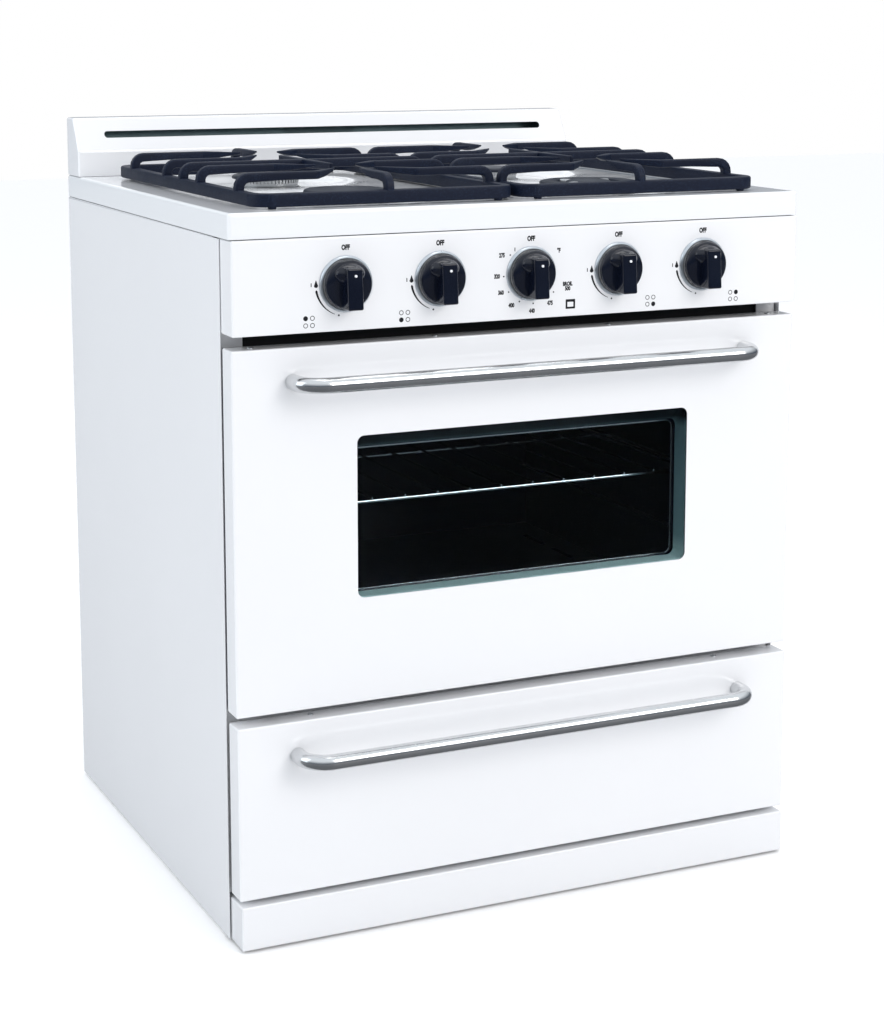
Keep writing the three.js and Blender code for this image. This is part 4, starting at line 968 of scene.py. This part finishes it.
def pushed(bm, face, move=None, turn=None, about=None):
    """Extrudes a face and moves or turns its new end."""
    made = bmesh.ops.extrude_face_region(bm, geom=[face])
    end = made_of(made, bmesh.types.BMFace)[0]
    bmesh.ops.delete(bm, geom=[face], context="FACES_ONLY")
    if move is not None:
        bmesh.ops.translate(bm, vec=move, verts=end.verts)
    if turn is not None:
        bmesh.ops.rotate(bm, cent=about, matrix=turn, verts=end.verts)
    return end


def narrow(face, across, share):
    """Draws a finger's end in from both sides and up from below; its top stays level."""
    centre = face.calc_center_median()
    for vert in face.verts:
        aside = (vert.co - centre).dot(across)
        vert.co -= across * aside * (1 - share)
        vert.co.z = finger_top - (finger_top - vert.co.z) * share


def finger(run, swing=0.0, tip=0.0, bends=5):
    """A finger in its own frame: it rises from a rail at X = 0, runs to X = run and swings to a tip."""
    root = rail_base + 4 * MM
    level = finger_top - FINGER.y / 2
    bm = bmesh.new()
    bmesh.ops.create_grid(bm, x_segments=1, y_segments=1, size=0.5)
    bmesh.ops.scale(bm, vec=(FINGER.y, FINGER.x, 1), verts=bm.verts)
    bevelled(bm, bm.verts[:], 2.6 * MM, 3, "VERTICES")
    moved(bm, 0, 0, root)
    face = bm.faces[:][0]
    base_copy = bmesh.ops.duplicate(bm, geom=[face])
    bmesh.ops.reverse_faces(bm, faces=made_of(base_copy, bmesh.types.BMFace))
    face = pushed(bm, face, move=(0, 0, level - BEND - root))
    step = Matrix.Rotation(math.pi / 2 / bends, 3, "Y")
    for _ in range(bends):
        face = pushed(bm, face, turn=step, about=(BEND, 0, level - BEND))
    face = pushed(bm, face, move=((run - BEND) / 2, 0, 0))
    if tip:
        narrow(face, Vector((0, 1, 0)), 0.86)
    face = pushed(bm, face, move=((run - BEND) / 2, 0, 0))
    if swing:
        inside = (run, math.copysign(FINGER.x / 2, swing), level)
        half_turn = Matrix.Rotation(swing / 3, 3, "Z")
        for _ in range(3):
            face = pushed(bm, face, turn=half_turn, about=inside)
    if tip:
        heading = Vector((math.cos(swing), math.sin(swing), 0))
        across = Vector((-heading.y, heading.x, 0))
        for part_way, share in ((0.4, 0.82), (0.35, 0.62), (0.25, 0.4)):
            face = pushed(bm, face, move=heading * tip * part_way)
            narrow(face, across, share)
    bmesh.ops.remove_doubles(bm, verts=bm.verts, dist=1e-6)
    bmesh.ops.recalc_face_normals(bm, faces=bm.faces)
    return bm


def set_down(bm, x, y, degrees=0.0, mirror_x=False):
    """Turns a finger and stands it on its rail; it may be mirrored to face the other way."""
    if mirror_x:
        bmesh.ops.scale(bm, vec=(-1, 1, 1), verts=bm.verts)
        bmesh.ops.reverse_faces(bm, faces=bm.faces)
    return moved(turned(bm, math.radians(degrees)), x, y)


def grate_rail():
    """The square ring that carries the fingers, with its top edges chamfered."""
    outer = rounded_block((grate_low.x, grate_low.y, rail_base), (grate_high.x, grate_high.y, rail_top),
                          26 * MM, edge_along(2), 8)
    hole = rounded_block((grate_low.x + RAIL.x, grate_low.y + RAIL.x, rail_base - CLEAR),
                         (grate_high.x - RAIL.x, grate_high.y - RAIL.x, rail_top + CLEAR),
                         14 * MM, edge_along(2), 6)
    ring = carved(outer, hole)
    edges = [edge for edge in ring.edges if edge_at(2, rail_top)(edge) or edge_at(2, rail_base)(edge)]
    square = math.radians(60)
    edges = [edge for edge in edges if len(edge.link_faces) == 2 and edge.calc_face_angle() > square]
    return bevelled(ring, edges, 2.6 * MM, 2)


def root_lug(x, y):
    """The small boss left at a finger's root by the casting's gate."""
    low = (x - 3.4 * MM, y - 5.4 * MM, rail_top - 3 * MM)
    high = (x + 3.4 * MM, y + 5.4 * MM, rail_top + 2.6 * MM)
    return rounded_block(low, high, 2.0 * MM)


def middle_tip(length):
    """A short tip that points from the middle bar to a burner, narrower at its end."""
    bm = rounded_block((-FINGER.x / 2, 0, finger_top - FINGER.y), (FINGER.x / 2, length, finger_top))
    for vert in bm.verts:
        if vert.co.y > length / 2:
            vert.co.x *= 0.42
            if vert.co.z < finger_top - FINGER.y / 2:
                vert.co.z += FINGER.y * 0.3
    return bevelled(bm, bm.edges[:], 1.4 * MM, 3)


def corner_pad():
    """A round foot under the rail."""
    return revolved([(0, grate_low.z), (4.4 * MM, grate_low.z), (5 * MM, grate_low.z + 0.8 * MM),
                     (5 * MM, rail_base + 1 * MM), (0, rail_base + 1 * MM)], 20)


def grate():
    """The right-hand grate; the left one is its mirror image."""
    bm = grate_rail()
    left_rail = grate_low.x + RAIL.x / 2
    right_rail = grate_high.x - RAIL.x / 2
    span = (right_rail - left_rail) / 2
    turned_tip = (OFFSET - REACH * math.sqrt(0.5)) * math.sqrt(2)
    for place in ("front_right", "rear_right"):
        y = burner_places[place].y
        for side in (-1, 1):
            root_y = y + side * OFFSET
            swing = -side * math.radians(45)
            run = span - OFFSET + 2 * MM
            appended(bm, set_down(finger(run, swing, turned_tip), left_rail, root_y))
            appended(bm, set_down(finger(run, swing, turned_tip), right_rail, root_y, mirror_x=True))
            appended(bm, root_lug(left_rail, root_y), root_lug(right_rail, root_y))
    front_rail = grate_low.y + RAIL.x / 2
    rear_rail = grate_high.y - RAIL.x / 2
    straight = burner_places["front_right"].y - front_rail - REACH
    for y, degrees in ((front_rail, 90), (rear_rail, -90)):
        appended(bm, set_down(finger(straight / 2, 0.0, straight / 2), right_burner.x, y, degrees))
    appended(bm, set_down(finger(span + 1 * MM), left_rail, middle_y))
    appended(bm, set_down(finger(span + 1 * MM), right_rail, middle_y, mirror_x=True))
    inner_reach = middle_y - burner_places["front_right"].y - REACH
    for degrees in (180, 0):
        appended(bm, set_down(middle_tip(inner_reach), right_burner.x, middle_y, degrees))
    for x in (grate_low.x + 24 * MM, grate_high.x - 24 * MM):
        for y in (front_rail, rear_rail):
            appended(bm, moved(corner_pad(), x, y))
    return bm


fitted("grate_casting_right", grate(), IRON, "grate_right", "cast_iron", "grate_right", smooth_angle=42)
left_grate = grate()
bmesh.ops.scale(left_grate, vec=(-1, 1, 1), verts=left_grate.verts)
bmesh.ops.reverse_faces(left_grate, faces=left_grate.faces)
fitted("grate_casting_left", left_grate, IRON, "grate_left", "cast_iron", "grate_left", smooth_angle=42)


# ---------------------------------------------------------------- oven door
# A folded outer panel and a porcelain inner panel hold two panes of glass, with a grey-green painted
# steel tunnel between them. Pan-head screws along the top edge hold the two panels together.
GLASS_LAP = 12 * MM
glass_low, glass_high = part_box("door_outer_glass")
pane_low, pane_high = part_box("door_inner_glass")
inner_low, inner_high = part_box("door_inner_panel")
window_low = Vector((glass_low.x + GLASS_LAP, door_low.y - CLEAR, glass_low.z + GLASS_LAP))
window_high = Vector((glass_high.x - GLASS_LAP, door_low.y + CLEAR, glass_high.z - GLASS_LAP))
window_cut = rounded_block(window_low, window_high, 9 * MM, edge_along(1), 8)
hinge_low, hinge_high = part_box("door_hinge_left")
hinge_x = -(hinge_low.x + hinge_high.x) / 2
SLOT_HALF = 4.5 * MM


def hinge_slots():
    """Cutters for the slots that the hinge arms pass through."""
    slots = []
    for x in (-hinge_x, hinge_x):
        low = (x - SLOT_HALF, door_low.y + 2 * MM, door_low.z - 1 * MM)
        high = (x + SLOT_HALF, inner_high.y + CLEAR, hinge_high.z + 6 * MM)
        slots.append(rounded_block(low, high))
    return slots


outer_door = carved(folded_panel(door_low, door_high), window_cut, *hinge_slots())
fitted("door_front_sheet", outer_door, WHITE_ENAMEL, "oven_door", "white_enamel", "door_outer_panel",
       edge=0.3 * MM)

joint_y = door_high.y + 0.4 * MM
plug_half = liner_high.x - 22 * MM
plug_low_z = door_low.z + 59 * MM
plug_high_z = liner_high.z - 15 * MM
plate = rounded_block((door_low.x, door_high.y + 0.3 * MM, door_low.z),
                      (door_high.x, door_high.y + 1.3 * MM, door_high.z), 0.3 * MM)
plug = rounded_block((-plug_half, joint_y, plug_low_z), (plug_half, inner_high.y, plug_high_z),
                     5 * MM, edge_off(1, joint_y), 5)
recess = rounded_block((-plug_half + SHEET, door_high.y - CLEAR, plug_low_z + SHEET),
                       (plug_half - SHEET, inner_high.y - SHEET, plug_high_z - SHEET),
                       4 * MM, edge_off(1, door_high.y - CLEAR), 5)
PANE_LAP = GLASS_LAP - 1 * MM
pane_window = rounded_block((pane_low.x + PANE_LAP, door_high.y - CLEAR, pane_low.z + PANE_LAP),
                            (pane_high.x - PANE_LAP, inner_high.y + CLEAR, pane_high.z - PANE_LAP - 2 * MM),
                            12 * MM, edge_along(1), 8)
inner_door = carved(united(plate, plug), recess, pane_window, *hinge_slots())
fitted("door_inner_sheet", inner_door, PORCELAIN, "oven_door", "oven_porcelain", "door_inner_panel",
       edge=0.3 * MM)

GLASS = finish("tinted door glass", (30.0, 4.0), bump=(0.01, 0.0002), Base_Color=(0.90, 0.95, 0.97, 1.0),
               Roughness=0.02, IOR=1.1, Transmission_Weight=1.0)
PANES = (("outer", glass_low, glass_high), ("inner", pane_low, pane_high))
for side, low, high in PANES:
    pane = rounded_block(low, high, 0.8 * MM, None, 2)
    fitted(f"window_pane_{side}", pane, GLASS, "oven_door", "door_glass", f"door_{side}_glass")

# The tunnel's grey-green paint carries painted light and shade: pale along its sill, where light from above
# would fall, and darker under its roof, where shade would fall.
TUNNEL_PAINT_AND_SHADE = finish("grey-green paint with painted light and shade", (500.0, 8.0), rough=(0.3, 0.42), Metallic=0.1, IOR=1.5)
TUNNEL_LIGHT_AND_SHADE = ((0.06, (0.62, 0.86, 0.84, 1.0)), (0.14, (0.34, 0.54, 0.56, 1.0)),
                (0.86, (0.26, 0.44, 0.48, 1.0)))
tunnel_place = node(TUNNEL_PAINT_AND_SHADE, "ShaderNodeTexCoord")
tunnel_axes = node(TUNNEL_PAINT_AND_SHADE, "ShaderNodeSeparateXYZ")
tunnel_rise = node(TUNNEL_PAINT_AND_SHADE, "ShaderNodeMapRange", From_Min=window_low.z, From_Max=window_high.z)
tunnel_painted_light = node(TUNNEL_PAINT_AND_SHADE, "ShaderNodeValToRGB")
for where, tone in TUNNEL_LIGHT_AND_SHADE:
    tunnel_painted_light.color_ramp.elements.new(where).color = tone
tunnel_painted_light.color_ramp.elements[0].color = TUNNEL_LIGHT_AND_SHADE[0][1]
# The top end is near black: painted shade under the tunnel's roof.
tunnel_painted_light.color_ramp.elements[-1].position = 0.93
tunnel_painted_light.color_ramp.elements[-1].color = (0.012, 0.018, 0.026, 1.0)
wire(TUNNEL_PAINT_AND_SHADE, tunnel_place, "Object", tunnel_axes, "Vector")
wire(TUNNEL_PAINT_AND_SHADE, tunnel_axes, "Z", tunnel_rise, "Value")
wire(TUNNEL_PAINT_AND_SHADE, tunnel_rise, "Result", tunnel_painted_light, "Fac")
wire(TUNNEL_PAINT_AND_SHADE, tunnel_painted_light, "Color", shader_of(TUNNEL_PAINT_AND_SHADE), "Base Color")


def window_tunnel():
    """Four walls between the outer window and the inner one, whose top sits lower."""
    front_y = glass_high.y + 0.3 * MM
    back_y = door_high.y - 0.2 * MM
    wall = 2 * MM
    outside = rounded_block((window_low.x - wall, front_y, window_low.z - wall),
                            (window_high.x + wall, back_y, window_high.z + wall), 10 * MM, edge_along(1), 6)
    inside = rounded_block((window_low.x, front_y - 1 * MM, window_low.z),
                           (window_high.x, back_y + 1 * MM, window_high.z), 9 * MM, edge_along(1), 6)
    for bm in (outside, inside):
        for vert in bm.verts:
            if vert.co.y > (front_y + back_y) / 2 and vert.co.z > (window_low.z + window_high.z) / 2:
                vert.co.z -= window_high.z - (pane_high.z - GLASS_LAP) - 1 * MM
    return carved(outside, inside)


fitted("window_tunnel", window_tunnel(), TUNNEL_PAINT_AND_SHADE, "oven_door", "galvanised")

STAINLESS = finish("polished stainless", (1200.0, 40.0), (0.62, 0.63, 0.64), (0.72, 0.73, 0.74),
                   rough=(0.16, 0.24), Metallic=1.0)


def retainer(grow_outer, grow_inner, y, thickness):
    """A thin frame clamped round the inner pane on the oven's side."""
    x = pane_high.x - GLASS_LAP
    low_z = pane_low.z + GLASS_LAP
    high_z = pane_high.z - GLASS_LAP - 2 * MM
    outer = rounded_block((-x - grow_outer, y, low_z - grow_outer),
                          (x + grow_outer, y + thickness, high_z + grow_outer), 12 * MM, edge_along(1), 6)
    hole = rounded_block((-x + grow_inner, y - CLEAR, low_z + grow_inner),
                         (x - grow_inner, y + CLEAR, high_z - grow_inner), 8 * MM, edge_along(1), 6)
    return carved(outer, hole)


pane_frame = retainer(9 * MM, 1 * MM, inner_high.y + 0.2 * MM, 1.2 * MM)
fitted("window_retainer", pane_frame, STAINLESS, "oven_door", "stainless", edge=0.3 * MM)
DOOR_SCREW_X = (-351 * MM, -118 * MM, 118 * MM, 351 * MM)
door_screw_places = [(x, door_low.y + 15 * MM, door_high.z - SCREW_SINK) for x in DOOR_SCREW_X]
screws("door_screws", door_screw_places, "+z", "oven_door")
finish_node("door_hinge_left", GALVANISED)
finish_node("door_hinge_right", GALVANISED)


# ---------------------------------------------------------------- handles
# Each handle is one polished stainless tube, bent forward at both ends, with its ends held by
# screws from behind the panel.
TUBE_RADIUS = 9.5 * MM
TUBE_BEND = 30 * MM


def handle_tube(low, high, radius, bend, sides=32, steps=12):
    """A tube out of the panel, round a bend, along, round the other bend and back."""
    z = (low.z + high.z) / 2
    foot_x = high.x - radius
    centre_y = low.y + radius
    bm = bmesh.new()
    bmesh.ops.create_circle(bm, cap_ends=False, segments=sides, radius=radius)
    placed(bm, (foot_x, high.y, z), "-y")
    ring = bm.edges[:]

    def drawn_out(edges, move):
        made = bmesh.ops.extrude_edge_only(bm, edges=edges)
        bmesh.ops.translate(bm, vec=move, verts=made_of(made, bmesh.types.BMVert))
        return made_of(made, bmesh.types.BMEdge)

    def bent(edges, centre):
        step = Matrix.Rotation(-math.pi / 2 / steps, 3, "Z")
        for _ in range(steps):
            made = bmesh.ops.extrude_edge_only(bm, edges=edges)
            bmesh.ops.rotate(bm, cent=centre, matrix=step, verts=made_of(made, bmesh.types.BMVert))
            edges = made_of(made, bmesh.types.BMEdge)
        return edges

    straight = high.y - centre_y - bend
    ring = drawn_out(ring, (0, -straight, 0))
    ring = bent(ring, (foot_x - bend, centre_y + bend, z))
    ring = drawn_out(ring, (-2 * (foot_x - bend), 0, 0))
    ring = bent(ring, (-foot_x + bend, centre_y + bend, z))
    drawn_out(ring, (0, straight, 0))
    bmesh.ops.remove_doubles(bm, verts=bm.verts, dist=1e-6)
    bmesh.ops.holes_fill(bm, edges=[edge for edge in bm.edges if edge.is_boundary], sides=0)
    bmesh.ops.recalc_face_normals(bm, faces=bm.faces)
    return bm


for name, body in (("door_handle", "oven_door"), ("drawer_handle", "drawer")):
    tube = handle_tube(*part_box(name), TUBE_RADIUS, TUBE_BEND)
    fitted(f"{name}_tube", tube, STAINLESS, body, "stainless", name, smooth_angle=50)


# ---------------------------------------------------------------- drawer
# The drawer's front is a folded enamelled panel screwed to a galvanised box, which hangs by its
# side flanges on two rails.
drawer_low, drawer_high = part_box("drawer_front")
fitted("drawer_front_sheet", folded_panel(drawer_low, drawer_high), WHITE_ENAMEL, "drawer", "white_enamel",
       "drawer_front", edge=0.3 * MM)
DRAWER_SCREW_X = (-281 * MM, 281 * MM)
drawer_screw_places = [(x, drawer_low.y + 19 * MM, drawer_high.z - SCREW_SINK) for x in DRAWER_SCREW_X]
screws("drawer_screws", drawer_screw_places, "+z", "drawer")
finish_node("drawer_box", GALVANISED)
finish_node("drawer_rail_left", GALVANISED)
finish_node("drawer_rail_right", GALVANISED)


# ---------------------------------------------------------------- studio
# A plain pale floor, a white surround and three large soft lights. The surround is darker low down in
# what the pieces mirror and in the light that it sheds, as a room is, while the camera sees it white.
scene = bpy.context.scene
lens = bpy.data.cameras.new("camera")
lens.sensor_width = 36.0
lens.lens = 75.4
lens.shift_y = -0.15
lens.clip_end = 50.0
camera = bpy.data.objects.new("camera", lens)
camera.location = (-1.174, -2.592, 1.095)
camera.rotation_euler = (math.radians(90 - 9.0), 0.0, math.radians(-24.9))
scene.collection.objects.link(camera)
scene.camera = camera

floor_mesh = bmesh.new()
bmesh.ops.create_grid(floor_mesh, x_segments=1, y_segments=1, size=12.0)
FLOOR = new_material("pale floor", Roughness=0.6, Emission_Color=(1.0, 1.0, 1.0, 1.0),
                     Emission_Strength=0.12)
# To glossy rays the floor turns near black: a painted reflection of a dark floor, while the camera and the
# light see it pale.
floor_seen = node(FLOOR, "ShaderNodeLightPath")
floor_tone = node(FLOOR, "ShaderNodeMix", set_data_type="RGBA",
                  A=(0.9, 0.9, 0.9, 1.0), B=(0.0, 0.005, 0.015, 1.0))
wire(FLOOR, floor_seen, "Is Glossy Ray", floor_tone, "Factor")
wire(FLOOR, floor_tone, "Result", shader_of(FLOOR), "Base Color")
floor = drawn(floor_mesh, "floor")
floor.data.materials.append(FLOOR)


def area_light(name, location, size, power, colour):
    """A square soft light that faces the range."""
    data = bpy.data.lights.new(name, "AREA")
    data.size = size
    data.energy = power
    data.color = colour
    made = bpy.data.objects.new(name, data)
    made.location = location
    aim = Vector((0.0, 0.0, 0.5)) - Vector(location)
    made.rotation_euler = aim.to_track_quat("-Z", "Y").to_euler()
    scene.collection.objects.link(made)


area_light("key", (1.6, -3.4, 2.4), 1.8, 55.0, (1.0, 0.97, 0.94))
area_light("fill", (-3.2, 0.5, 1.7), 2.4, 31.0, (0.885, 0.955, 1.0))
area_light("top", (0.3, 0.2, 3.4), 1.6, 18.0, (1.0, 0.98, 0.95))

world = bpy.data.worlds.new("studio")
scene.world = world
world.use_nodes = True
direction = node(world, "ShaderNodeTexCoord")
axes = node(world, "ShaderNodeSeparateXYZ")
seen = node(world, "ShaderNodeLightPath")
wire(world, direction, "Generated", axes, "Vector")


def height_ramp(low_place, low, high_place, high):
    """A surround that runs from one colour near the floor to another higher up."""
    ramp = node(world, "ShaderNodeValToRGB")
    bottom, top_end = ramp.color_ramp.elements
    bottom.position = low_place
    bottom.color = low
    top_end.position = high_place
    top_end.color = high
    wire(world, axes, "Z", ramp, "Fac")
    return ramp


shade = height_ramp(0.02, (0.47, 0.495, 0.54, 1.0), 0.75, (1.10, 1.125, 1.17, 1.0))
mirrored = height_ramp(0.02, (0.06, 0.08, 0.11, 1.0), 0.6, (0.95, 1.0, 1.05, 1.0))
sheen = node(world, "ShaderNodeMix", set_data_type="RGBA")
choice = node(world, "ShaderNodeMix", set_data_type="RGBA", B=(1.0, 1.0, 1.0, 1.0))
background = world.node_tree.nodes["Background"]
wire(world, seen, "Is Glossy Ray", sheen, "Factor")
wire(world, shade, "Color", sheen, "A")
wire(world, mirrored, "Color", sheen, "B")
wire(world, seen, "Is Camera Ray", choice, "Factor")
wire(world, sheen, "Result", choice, "A")
wire(world, choice, "Result", background, "Color")
background.inputs["Strength"].default_value = 1.0
scene.view_settings.view_transform = "Standard"
